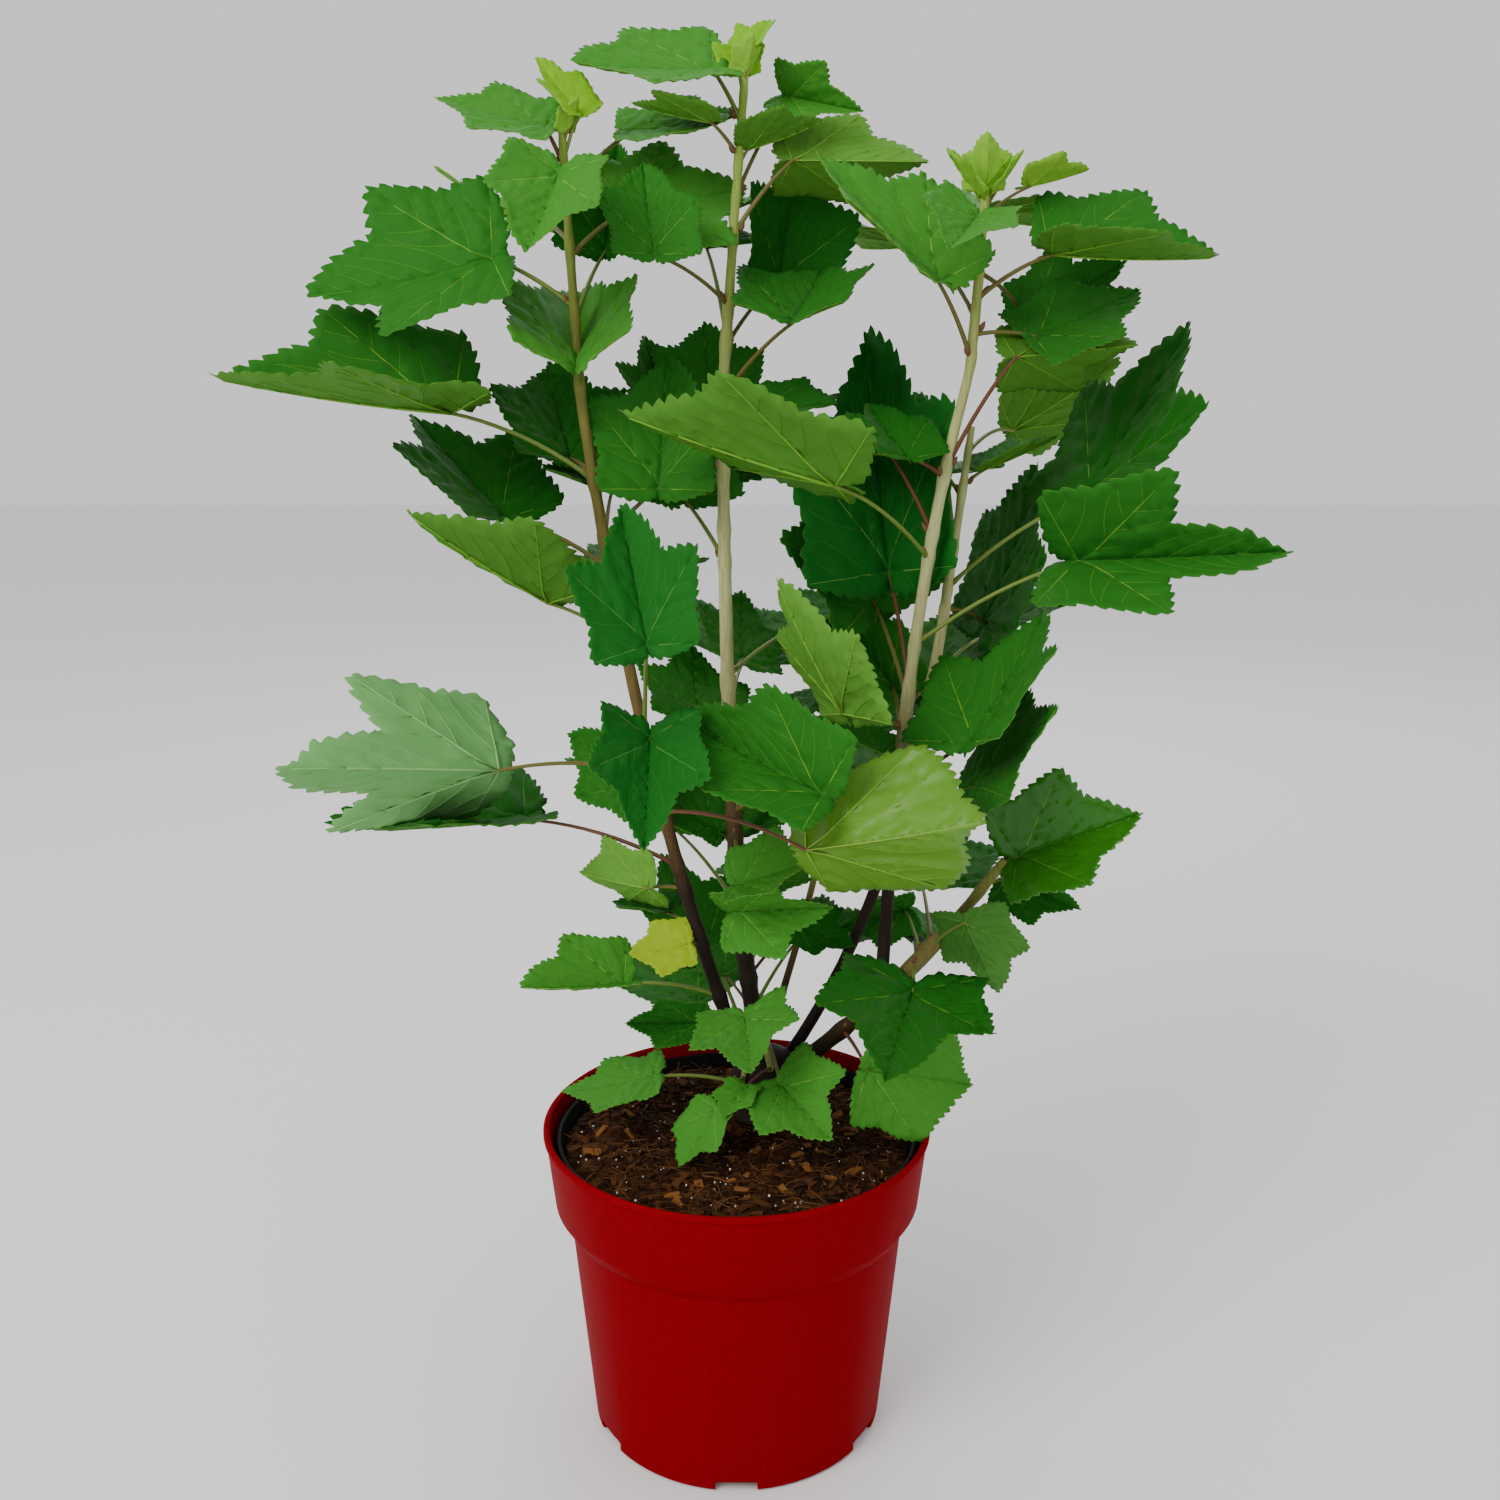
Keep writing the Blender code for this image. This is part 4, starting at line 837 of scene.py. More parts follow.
class Obstacles:
    """Everything already in place, with a test for touching it."""

    def __init__(self):
        self.items = []

    def add(self, solid, owner):
        verts, faces = solid
        low = Vector([min(vert[axis] for vert in verts) for axis in range(3)])
        high = Vector([max(vert[axis] for vert in verts) for axis in range(3)])
        self.items.append((low, high, BVHTree.FromPolygons(verts, faces), owner))

    def touched(self, solid, skip):
        verts, faces = solid
        low = Vector([min(vert[axis] for vert in verts) for axis in range(3)])
        high = Vector([max(vert[axis] for vert in verts) for axis in range(3)])
        tree = None
        for other_low, other_high, other, owner in self.items:
            if owner in skip:
                continue
            if any(low[axis] > other_high[axis] or high[axis] < other_low[axis] for axis in range(3)):
                continue
            tree = tree or BVHTree.FromPolygons(verts, faces)
            if tree.overlap(other):
                return True
        return False

    def share_seen(self, verts):
        """Share of the points that nothing in place hides from the photo's viewpoint."""
        eye = in_metres(VIEWPOINT)
        seen = 0
        for vert in verts:
            way = eye - vert
            hidden = any(tree.ray_cast(vert, way.normalized(), way.length)[0] for _, _, tree, _ in self.items)
            seen += not hidden
        return seen / len(verts)


def place_leaf(stem, row, name, obstacles, most_seen=1.0):
    """The row as first moved to touch nothing, or None.

    A stalk may meet its own stem, a short-stalked blade too, and a young leaf its whole bud.
    No more than the share most_seen of the blade's corners may show from the viewpoint.
    """
    stem_tag = "stem of " + name
    leaf_tag = "leaf of " + name
    young = row[4] < YOUNG_BLADE
    stalk_skip = (stem_tag, leaf_tag) if young else (stem_tag,)
    sheet_skip = stalk_skip if young or row[2] < SHORT_STALK else ()
    for slide, turn, lift in MOVES:
        if slide and row[2] < SHORT_STALK:
            continue
        tried = turned(slid(stem, row, slide), turn, lift)
        stalk, sheet = leaf_solids(stem, tried, CLEARANCE * 0.5)
        if not inside_space(sheet[0]):
            continue
        if obstacles.touched(sheet, sheet_skip) or obstacles.touched(stalk, stalk_skip):
            continue
        if most_seen < 1.0 and obstacles.share_seen(sheet[0]) > most_seen:
            continue
        obstacles.add(stalk, leaf_tag)
        obstacles.add(sheet, leaf_tag)
        return tried
    return None


def hidden_rows(name, dice):
    """Rows of the leaf plan for the leaves that grow by rule on a mass's far side."""
    lowest, highest, count = HIDDEN[name]
    for index in range(count):
        node = lowest + (highest - lowest) * (index + 0.5) / count
        yield [hidden_row(node, dice) for _ in range(HIDDEN_TRIES)]


def hidden_row(node, dice):
    """One leaf at a node, with the rest drawn by the dice."""
    bearing = dice.uniform(*HIDDEN_BEARING)
    stalk = dice.uniform(*HIDDEN_STALK)
    rise = dice.uniform(*HIDDEN_RISE)
    length = dice.uniform(*HIDDEN_BLADE)
    heading = bearing + dice.uniform(*HIDDEN_TURN)
    pitch = dice.uniform(*HIDDEN_PITCH)
    return (node, bearing, stalk, rise, length, heading, pitch, dice.uniform(*HIDDEN_ROLL), HIDDEN_FOLD)


def grow_leaves(stems, obstacles):
    """The placed rows of every leaf that finds room, by the mass's name."""
    leaves = {name: [] for name in stems}
    for name, rows in LEAVES.items():
        for row in rows:
            placed = place_leaf(stems[name], row, name, obstacles)
            if placed:
                leaves[name].append(placed)
    dice = random.Random(SEED)
    for name in HIDDEN:
        for choices in hidden_rows(name, dice):
            for row in choices:
                placed = place_leaf(stems[name], row, name, obstacles, HIDDEN_SEEN)
                if placed:
                    leaves[name].append(placed)
                    break
    return leaves


def all_obstacles(limbs, stems):
    """The pot, the soil, the limbs and the stems, for leaves to keep clear of."""
    obstacles = Obstacles()
    for outline in (pot_outline(), liner_outline(), soil_outline()):
        obstacles.add(lathe(outline, POT_STEPS), "pot")
    for limb in limbs.values():
        obstacles.add(limb.solid(LIMB_SIDES), "limb")
    for name, stem in stems.items():
        obstacles.add(stem.solid(STEM_SIDES), "stem of " + name)
    return obstacles


def pot_outline():
    """Section of the red pot, from the middle of its underside out, up and back down inside."""
    inner_base = BASE_R - WALL - 1.0 * MM
    return [
        (0.0, 0.0),
        (CHANNEL_IN, 0.0),
        (CHANNEL_IN, CHANNEL_H),
        (CHANNEL_OUT, CHANNEL_H),
        (CHANNEL_OUT, 0.0),
        (BASE_R - FOOT_ROUND, 0.0),
        (BASE_R, FOOT_ROUND),
        (SHOULDER_R, SHOULDER_Z),
        (SHOULDER_R + 2.0 * MM, SHOULDER_Z + 1.0 * MM),
        (COLLAR_R, COLLAR_Z),
        (RIM_R - LIP_OUT, POT_H - LIP_H),
        (RIM_R, POT_H - LIP_H * 0.7),
        (RIM_R, POT_H - LIP_H * 0.25),
        (RIM_R - LIP_OUT, POT_H),
        (RIM_R - LIP_OUT - WALL, POT_H - LIP_H * 0.2),
        (COLLAR_R - WALL, COLLAR_Z + 2.0 * MM),
        (SHOULDER_R - WALL, SHOULDER_Z + 3.0 * MM),
        (inner_base + 1.5 * MM, CHANNEL_H + FLOOR + 5.0 * MM),
        (inner_base - 3.0 * MM, CHANNEL_H + FLOOR),
        (0.0, CHANNEL_H + FLOOR),
    ]


def inner_radius(height):
    """Inside radius of the red pot's wall at a height."""
    section = [(CHANNEL_H, BASE_R), (SHOULDER_Z, SHOULDER_R), (POT_H, RIM_R - LIP_OUT)]
    for (low, low_r), (high, high_r) in zip(section, section[1:]):
        if height <= high:
            break
    share = (height - low) / (high - low)
    return low_r + (high_r - low_r) * share - WALL


def liner_outline():
    """Section of the black inner pot, which stands on the red pot's floor."""
    floor = CHANNEL_H + FLOOR + GAP
    low_r = inner_radius(floor) - LINER_CLEAR - 2.0 * MM
    top_r = inner_radius(LINER_TOP) - LINER_CLEAR
    mid_r = inner_radius(SHOULDER_Z) - LINER_CLEAR
    return [
        (0.0, floor),
        (low_r, floor),
        (mid_r, SHOULDER_Z),
        (top_r, LINER_TOP - 3.0 * MM),
        (top_r + LINER_LIP, LINER_TOP - 2.0 * MM),
        (top_r + LINER_LIP, LINER_TOP),
        (top_r - LINER_WALL, LINER_TOP),
        (mid_r - LINER_WALL, SHOULDER_Z),
        (low_r - LINER_WALL, floor + LINER_WALL),
        (0.0, floor + LINER_WALL),
    ]


def soil_outline():
    """Section of the soil, a gap clear of the inner pot all round."""
    floor = CHANNEL_H + FLOOR + LINER_WALL + 2 * GAP
    inside = LINER_CLEAR + LINER_WALL + GAP
    edge_z = SOIL_TOP - SOIL_EDGE_DROP
    top_r = inner_radius(LINER_TOP) - inside
    mid_r = inner_radius(SHOULDER_Z) - inside
    low_r = inner_radius(floor) - inside - 2.4 * MM
    edge_r = mid_r + (top_r - mid_r) * (edge_z - SHOULDER_Z) / (LINER_TOP - SHOULDER_Z) - 0.2 * MM
    return [
        (0.0, floor),
        (low_r, floor),
        (mid_r, SHOULDER_Z),
        (edge_r, edge_z),
        (SOIL_FLAT_R, SOIL_TOP),
        (0.0, SOIL_TOP),
    ]


def box(centre, size, spin):
    """A box's vertices and faces, turned about the Z axis of the pot by spin degrees."""
    turn = Matrix.Rotation(math.radians(spin), 3, "Z")
    half = [value / 2 for value in size]
    verts = []
    for sign_x in (-1, 1):
        for sign_y in (-1, 1):
            for sign_z in (-1, 1):
                corner = Vector((sign_x * half[0], sign_y * half[1], sign_z * half[2]))
                verts.append(turn @ (Vector(centre) + corner))
    faces = [(0, 1, 3, 2), (4, 6, 7, 5), (0, 4, 5, 1), (2, 3, 7, 6), (0, 2, 6, 4), (1, 5, 7, 3)]
    return verts, faces


def drain(spin):
    """A round cutter through both floors, over the channel."""
    middle = Matrix.Rotation(math.radians(spin), 3, "Z") @ Vector(((CHANNEL_IN + CHANNEL_OUT) / 2, 0, 0))
    points = [middle + Vector((0, 0, height * MM)) for height in (2.0, 14.0)]
    return tube(points, [DRAIN_R, DRAIN_R], 12)


def flat_direction(bearing):
    """Direction in the blade's own plane, as a pair along and across."""
    turn = math.radians(bearing)
    return np.array((math.cos(turn), math.sin(turn)))


def margin_line(dice, cut):
    """The blade's smooth margin from one side of the stalk round to the other."""
    cut = cut or dice.uniform(*SINUS_SPREAD)
    corners = []
    for side in (-1.0, 1.0):
        row = []
        for bearing, reach in LEAF_CORNERS:
            if bearing > 0.0:
                reach *= 1.0 + dice.uniform(-CORNER_SPREAD, CORNER_SPREAD)
            if bearing == SINUSES[0]:
                reach *= cut
            row.append((side * bearing, reach))
        corners += reversed(row) if side < 0 else row[1:]
    places = [flat_direction(bearing) * reach for bearing, reach in corners]
    line = [places[0]]
    for start, end in zip(places, places[1:]):
        ahead = end - start
        control = (start + end) / 2 + np.array((ahead[1], -ahead[0])) * EDGE_BULGE * 2
        for step in range(1, MARGIN_STEPS + 1):
            share = step / MARGIN_STEPS
            line.append(start * (1 - share) ** 2 + control * 2 * share * (1 - share) + end * share**2)
    return np.array(line)


def toothed_outline(smooth, teeth, dice):
    """Closed outline of the blade, with uneven teeth set on its smooth margin."""
    run = np.concatenate(([0.0], np.cumsum(np.linalg.norm(np.diff(smooth, axis=0), axis=1))))
    step = run[-1] / teeth
    outline = []
    for tooth in range(teeth):
        size = dice.uniform(0.55, 1.35)
        shift = dice.uniform(-0.15, 0.15)
        for along, height in TOOTH_SHAPE:
            place = min(max((tooth + along + shift * (along > 0)) * step, 0.0), run[-1])
            point = np.array([np.interp(place, run, smooth[:, axis]) for axis in range(2)])
            ahead = np.array([np.interp(place + 0.01, run, smooth[:, axis]) for axis in range(2)])
            behind = np.array([np.interp(place - 0.01, run, smooth[:, axis]) for axis in range(2)])
            way = (ahead - behind) / (np.linalg.norm(ahead - behind) + 1e-9)
            out = np.array((way[1], -way[0]))
            lean = np.array((TOOTH_LEAN * max(height, 0.0), 0.0))
            outline.append(point + out * TOOTH_OUT * height * size + lean)
    outline.append(smooth[-1])
    return outline


def side_vein(start, heading, curve, low, high, reach_at):
    """Points from a main vein outward, up to the margin or to the next lobe's side."""
    points = [start]
    place = start
    turn = heading
    while len(points) < 14:
        place = place + flat_direction(turn) * VEIN_STEP
        turn += curve
        bearing = math.degrees(math.atan2(place[1], place[0]))
        if not low < bearing < high:
            break
        if np.linalg.norm(place) > reach_at(bearing) - VEIN_SHY:
            break
        points.append(place)
    return points


def vein_lines(smooth, spacing, dice):
    """Main veins into the lobes, with side veins off them by turns, as lines of points."""
    bearings = np.degrees(np.arctan2(smooth[:, 1], smooth[:, 0]))
    reaches = np.linalg.norm(smooth, axis=1)

    def reach_at(bearing):
        return np.interp(bearing, bearings, reaches)

    limits = [-bound for bound in reversed(SINUSES)] + list(SINUSES)
    mains = []
    sides = []
    for index, axis in enumerate([-bearing for bearing in reversed(LOBE_BEARINGS[1:])] + list(LOBE_BEARINGS)):
        low, high = limits[index], limits[index + 1]
        reach = reach_at(axis) * 0.96
        ahead = flat_direction(axis)
        stations = np.arange(spacing * 0.9, reach - spacing * 0.4, spacing * 0.5)
        mains.append([np.zeros(2)] + [ahead * station for station in stations] + [ahead * reach])
        for number, station in enumerate(stations):
            side = 1.0 if number % 2 else -1.0
            heading = axis + side * (VEIN_FORK + dice.uniform(-VEIN_SPREAD, VEIN_SPREAD))
            line = side_vein(ahead * station, heading, -side * VEIN_CURVE, low, high, reach_at)
            if len(line) > 2:
                sides.append(line)
    return mains, sides


def inside_line(points, outline):
    """Which points lie within a closed outline."""
    x, y = points[:, 0], points[:, 1]
    within = np.zeros(len(points), dtype=bool)
    for (x0, y0), (x1, y1) in zip(outline, np.roll(outline, -1, axis=0)):
        crosses = (y0 > y) != (y1 > y)
        within ^= crosses & (x < (x1 - x0) * (y - y0) / (y1 - y0 + 1e-12) + x0)
    return within


def nearest(points, marks):
    """Distance from each point to its nearest mark."""
    return np.sqrt(((points[:, None, :] - marks[None, :, :]) ** 2).sum(axis=2)).min(axis=1)


def leaf_template(teeth, spacing, grid, seed, cut=None):
    """A flat leaf: its points and relief, triangles, rim and veins, for a blade of length 1."""
    dice = random.Random(seed)
    smooth = margin_line(dice, cut)
    outline = toothed_outline(smooth, teeth, dice)
    mains, sides = vein_lines(smooth, spacing, dice)
    points = list(outline)
    edges = []
    lines = []
    for line in mains + sides:
        lines.append(list(range(len(points), len(points) + len(line))))
        edges += zip(lines[-1], lines[-1][1:])
        points += line
    veins = np.array(points[len(outline):])
    across = np.arange(-1.0, 1.0, grid)
    filling = np.array([(x + 0.5 * grid * (row % 2) + dice.uniform(-0.2, 0.2) * grid, y * 0.9)
                        for row, y in enumerate(across) for x in np.arange(-0.6, 1.1, grid)])
    filling = filling[inside_line(filling, outline)]
    filling = filling[nearest(filling, veins) > grid * 0.5]
    filling = filling[nearest(filling, np.array(outline)) > grid * 0.5]
    points += list(filling)
    found, _, faces, sources, _, _ = delaunay_2d_cdt(
        [Vector(point) for point in points], edges, [list(range(len(outline)))], 1, 1e-5)
    new_from_old = {old: index for index, olds in enumerate(sources) for old in olds}
    flat = np.array([tuple(point) for point in found])
    off_vein = nearest(flat, veins)
    ridges = []
    for x, y in flat:
        near = noise.voronoi(Vector((x * NETWORK_CELLS, y * NETWORK_CELLS, seed * 3.0)))[0]
        ridges.append(min(near[1] - near[0], 0.5) * 2.0)
    pillow = 1.0 - np.exp(-(off_vein / QUILT_WIDE) ** 2)
    relief = (QUILT + NETWORK * np.array(ridges)) * pillow
    bearings = np.arctan2(flat[:, 1], flat[:, 0])
    smooth_bearings = np.arctan2(smooth[:, 1], smooth[:, 0])
    edge = np.linalg.norm(flat, axis=1) / np.interp(bearings, smooth_bearings, np.linalg.norm(smooth, axis=1))
    triangles = []
    for face in faces:
        a, b, c = (flat[corner] for corner in face[:3])
        area = (b[0] - a[0]) * (c[1] - a[1]) - (b[1] - a[1]) * (c[0] - a[0])
        triangles.append(tuple(face) if area > 0 else tuple(reversed(face)))
    widths = [np.linspace(VEIN_WIDE, VEIN_WIDE * 0.3, len(line)) for line in mains]
    widths += [np.linspace(SIDE_VEIN_WIDE, SIDE_VEIN_WIDE * 0.45, len(line)) for line in sides]
    return {
        "flat": flat,
        "relief": relief,
        "edge": np.minimum(edge, 1.1),
        "bearing": bearings,
        "faces": np.array(triangles),
        "rim": np.array([new_from_old[number] for number in range(len(outline))]),
        "veins": [([new_from_old[number] for number in line], wide) for line, wide in zip(lines, widths)],
        "mains": len(mains),
    }


class Mesh:
    """Vertices and triangles of one kind of thing, gathered for one joined piece."""

    def __init__(self):
        self.verts = []
        self.faces = []
        self.tones = []
        self.count = 0

    def add(self, verts, faces, tone=0):
        """Take in triangles; tone is one number or one for each of them."""
        faces = np.asarray(faces, dtype=np.int64)
        self.verts.append(np.asarray(verts, dtype=np.float64))
        self.faces.append(faces + self.count)
        self.tones.append(np.broadcast_to(np.asarray(tone, dtype=np.int64), (len(faces),)))
        self.count += len(verts)

    def add_solid(self, solid, tone=0):
        """Take in a solid of vertices and polygons, cut into triangles."""
        verts, polygons = solid
        faces = [(face[0], face[i], face[i + 1]) for face in polygons for i in range(1, len(face) - 1)]
        self.add([tuple(vert) for vert in verts], faces, tone)


def blade_points(heart, frame, length, fold, template, habit):
    """The leaf's middle surface and its outward directions for every template point."""
    midrib, side, top = (np.array(axis) for axis in frame)
    flat = template["flat"]
    along = flat[:, 0]
    across = flat[:, 1] + habit["sway"] * np.maximum(along, 0.0) ** 2
    bend = math.radians(fold)
    out = np.sqrt(across * across + FOLD_SOFT * FOLD_SOFT) - FOLD_SOFT
    half = across / np.sqrt(across * across + FOLD_SOFT * FOLD_SOFT)
    droop = LEAF_CUP * (along * along + out * out) - LEAF_CURL * np.maximum(along, 0.0) ** 2
    wave = np.sin(template["bearing"] * habit["waves"] + habit["phase"])
    height = out * math.sin(bend) - droop + template["relief"]
    height = height + habit["ripple"] * wave * template["edge"] ** 2
    sideways = half * np.abs(out) * math.cos(bend)
    flat_points = np.outer(along, midrib) + np.outer(sideways, side) + np.outer(height, top)
    tilt = bend * np.abs(half)
    outward = np.outer(np.cos(tilt), top) - np.outer(half * math.sin(bend), side)
    outward = outward / np.linalg.norm(outward, axis=1)[:, None]
    return np.array(heart) + flat_points * length, outward


def add_leaf(sheets, ribs, heart, frame, length, fold, template, habit, tone):
    """One leaf as a thin closed sheet, with its veins standing out of both faces."""
    middle, outward = blade_points(heart, frame, length, fold, template, habit)
    count = len(middle)
    upper = middle + outward * SHEET_THICK / 2
    lower = middle - outward * SHEET_THICK / 2
    faces = template["faces"]
    rim = template["rim"]
    nxt = np.roll(rim, -1)
    walls = np.concatenate((np.stack((rim, rim + count, nxt + count), axis=1),
                            np.stack((rim, nxt + count, nxt), axis=1)))
    joined = np.concatenate((faces, faces[:, ::-1] + count, walls))
    tones = np.concatenate((np.full(len(faces), tone * 2), np.full(len(faces), tone * 2 + 1),
                            np.full(len(walls), tone * 2 + 1)))
    sheets.add(np.concatenate((upper, lower)), joined, tones)
    for index, (numbers, widths) in enumerate(template["veins"]):
        rib_tone = tone * 2 + (index >= template["mains"])
        add_rib(ribs, middle[numbers], outward[numbers], np.array(widths) * length, length, rib_tone)


def add_rib(ribs, line, outward, widths, length, tone):
    """A vein as a slim four-sided rib that shows on both faces of its leaf."""
    ahead = np.gradient(line, axis=0)
    side = np.cross(outward, ahead)
    side = side / (np.linalg.norm(side, axis=1)[:, None] + 1e-12)
    half = widths[:, None] / 2
    share = (widths / (VEIN_WIDE * length))[:, None]
    above = outward * (SHEET_THICK / 2 + VEIN_ABOVE * length * share)
    below = outward * (SHEET_THICK / 2 + VEIN_BELOW * length * share)
    keel = side * half * VEIN_KEEL
    rings = np.stack((line + side * half + above, line - side * half + above, line - keel - below,
                      line + keel - below), axis=1)
    count = len(line)
    faces = []
    for step in range(count - 1):
        for corner in range(4):
            a = step * 4 + corner
            b = step * 4 + (corner + 1) % 4
            faces.append((a, b, b + 4))
            faces.append((a, b + 4, a + 4))
    last = (count - 1) * 4
    faces += [(0, 2, 1), (0, 3, 2), (last, last + 1, last + 2), (last, last + 2, last + 3)]
    ribs.add(rings.reshape(-1, 3), faces, tone)


def smooth_path(points, step):
    """Points of a curve through the given ones, about one step apart."""
    line = [points[0]]
    for index in range(len(points) - 1):
        before = points[max(index - 1, 0)]
        start, end = points[index], points[index + 1]
        after = points[min(index + 2, len(points) - 1)]
        count = max(1, round((end - start).length / step))
        for number in range(1, count + 1):
            t = number / count
            line.append(0.5 * (2 * start + (end - before) * t + (2 * before - 5 * start + 4 * end - after) * t**2
                               + (3 * start - before - 3 * end + after) * t**3))
    return line


def stalk_line(root, heart, midrib, length, blade_length):
    """The stalk's curve with even steps, ending a little way along the midrib."""
    crest = (root + heart) * 0.5 + Vector((0.0, 0.0, STALK_BOW * length))
    points = []
    for step in range(STALK_SEGMENTS + 1):
        share = step / STALK_SEGMENTS
        points.append(root * (1 - share) ** 2 + crest * 2 * share * (1 - share) + heart * share**2)
    points.append(heart + midrib * 0.05 * blade_length)
    return points


def bark_tube(points, radii, nodes, seed):
    """A limb's skin with lengthwise relief, and a swelling at each node."""
    line = smooth_path(points, BARK_STEP)
    places = np.linspace(0.0, 1.0, len(line))
    widths = np.interp(places, np.linspace(0.0, 1.0, len(radii)), radii)
    verts, faces = tube(line, list(widths), BARK_AROUND)
    shaped = []
    for index, vert in enumerate(verts):
        ring = index // BARK_AROUND
        middle = line[ring]
        out = vert - middle
        spot = Vector((out.x * 420 + seed, out.y * 420, middle.z * 75))
        rough = 1.0 + BARK_RELIEF * noise.fractal(spot, 1.0, 2.0, 3)
        swell = sum(math.exp(-((middle.z - node) / NODE_LENGTH) ** 2) for node in nodes)
        shaped.append(middle + out * (rough + NODE_SWELL * min(swell, 1.2)))
    return shaped, faces


def bud(at, along):
    """A small pointed bud at a node, lying close to its shoot."""
    line = [at + along * BUD_LENGTH * share for share in (0.0, 0.25, 0.55, 0.85, 1.0)]
    return tube(line, [BUD_R * size for size in (0.5, 1.0, 0.95, 0.5, 0.08)], 6)


def plain_material(name, colour, roughness, gloss=0.25):
    """A Principled material of one plain colour; gloss is its specular level."""
    material = bpy.data.materials.new(name)
    material.use_nodes = True
    shader = material.node_tree.nodes["Principled BSDF"]
    shader.inputs["Base Color"].default_value = (*colour, 1.0)
    shader.inputs["Roughness"].default_value = roughness
    shader.inputs["Specular IOR Level"].default_value = gloss
    return material


def ramp_node(nodes, stops):
    """A colour ramp with the given stops of place and colour."""
    ramp = nodes.new("ShaderNodeValToRGB")
    elements = ramp.color_ramp.elements
    while len(elements) > 1:
        elements.remove(elements[-1])
    elements[0].position = stops[0][0]
    elements[0].color = (*stops[0][1], 1.0)
    for place, colour in stops[1:]:
        element = elements.new(place)
        element.color = (*colour, 1.0)
    return ramp


def patterned_material(name, stops, roughness, scale, bump=0.0, gloss=0.25):
    """A Principled material whose colour follows a noise through a ramp of colours."""
    material = plain_material(name, stops[0][1], roughness, gloss)
    nodes = material.node_tree.nodes
    links = material.node_tree.links
    shader = nodes["Principled BSDF"]
    place = nodes.new("ShaderNodeTexCoord")
    pattern = nodes.new("ShaderNodeTexNoise")
    pattern.inputs["Scale"].default_value = scale
    pattern.inputs["Detail"].default_value = 6.0
    ramp = ramp_node(nodes, stops)
    links.new(place.outputs["Object"], pattern.inputs["Vector"])
    links.new(pattern.outputs["Fac"], ramp.inputs["Fac"])
    links.new(ramp.outputs["Color"], shader.inputs["Base Color"])
    if bump:
        relief = nodes.new("ShaderNodeBump")
        relief.inputs["Strength"].default_value = bump
        relief.inputs["Distance"].default_value = 0.4 * MM
        links.new(pattern.outputs["Fac"], relief.inputs["Height"])
        links.new(relief.outputs["Normal"], shader.inputs["Normal"])
    return material


def cane_material(name, stops):
    """Bark whose colour goes up the cane by height, with fine lengthwise streaks."""
    material = plain_material(name, stops[0][1], 0.62, 0.12)
    nodes = material.node_tree.nodes
    links = material.node_tree.links
    shader = nodes["Principled BSDF"]
    place = nodes.new("ShaderNodeTexCoord")
    split = nodes.new("ShaderNodeSeparateXYZ")
    ramp = ramp_node(nodes, stops)
    mapping = nodes.new("ShaderNodeMapping")
    mapping.inputs["Scale"].default_value = (900.0, 900.0, 90.0)
    streaks = nodes.new("ShaderNodeTexNoise")
    streaks.inputs["Scale"].default_value = 1.0
    streaks.inputs["Detail"].default_value = 4.0
    shades = ramp_node(nodes, ((0.3, (0.78, 0.75, 0.68)), (0.7, (1.12, 1.12, 1.10))))
    mixed = nodes.new("ShaderNodeMix")
    mixed.data_type = "RGBA"
    mixed.blend_type = "MULTIPLY"
    mixed.inputs["Factor"].default_value = 1.0
    links.new(place.outputs["Object"], split.inputs["Vector"])
    links.new(split.outputs["Z"], ramp.inputs["Fac"])
    links.new(place.outputs["Object"], mapping.inputs["Vector"])
    links.new(mapping.outputs["Vector"], streaks.inputs["Vector"])
    links.new(streaks.outputs["Fac"], shades.inputs["Fac"])
    links.new(ramp.outputs["Color"], mixed.inputs[6])
    links.new(shades.outputs["Color"], mixed.inputs[7])
    links.new(mixed.outputs[2], shader.inputs["Base Color"])
    return material


def new_piece(name, mesh, materials, sharp=None):
    """A joined piece from a gathered mesh, smooth, with a tone for each triangle."""
    verts = np.concatenate(mesh.verts)
    faces = np.concatenate(mesh.faces)
    tones = np.concatenate(mesh.tones)
    data = bpy.data.meshes.new(name)
    data.from_pydata(verts.tolist(), [], faces.tolist())
    for material in materials:
        data.materials.append(material)
    data.polygons.foreach_set("material_index", tones.astype(np.int32))
    data.polygons.foreach_set("use_smooth", np.ones(len(faces), dtype=bool))
    if sharp is not None:
        data.set_sharp_from_angle(angle=math.radians(sharp))
    data.update()
    piece = bpy.data.objects.new(name, data)
    bpy.context.scene.collection.objects.link(piece)
    return piece


def one_piece(name, solid, material, sharp=None):
    """A piece of a single solid and a single material."""
    mesh = Mesh()
    mesh.add_solid(solid)
    return new_piece(name, mesh, [material], sharp)


def finish_piece(piece, slot, *nodes):
    """Put a piece on the part's one body, standing for its nodes, which it hides. The slot is not used."""
    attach(piece, "root")
    if nodes:
        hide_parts(*nodes)


def tone_of(name, row, dice):
    """The tone of one leaf, by its node, its mass or, failing those, the dice."""
    drawn = dice.choice(("dark", "dark", "mid", "mid"))
    tone = LEAF_TONE.get((name, row[0]), MASS_TONES.get(name, drawn))
    if row[4] < YOUNG_BLADE and tone != "yellow" and row[0] > 500:
        tone = "young"
    return tone


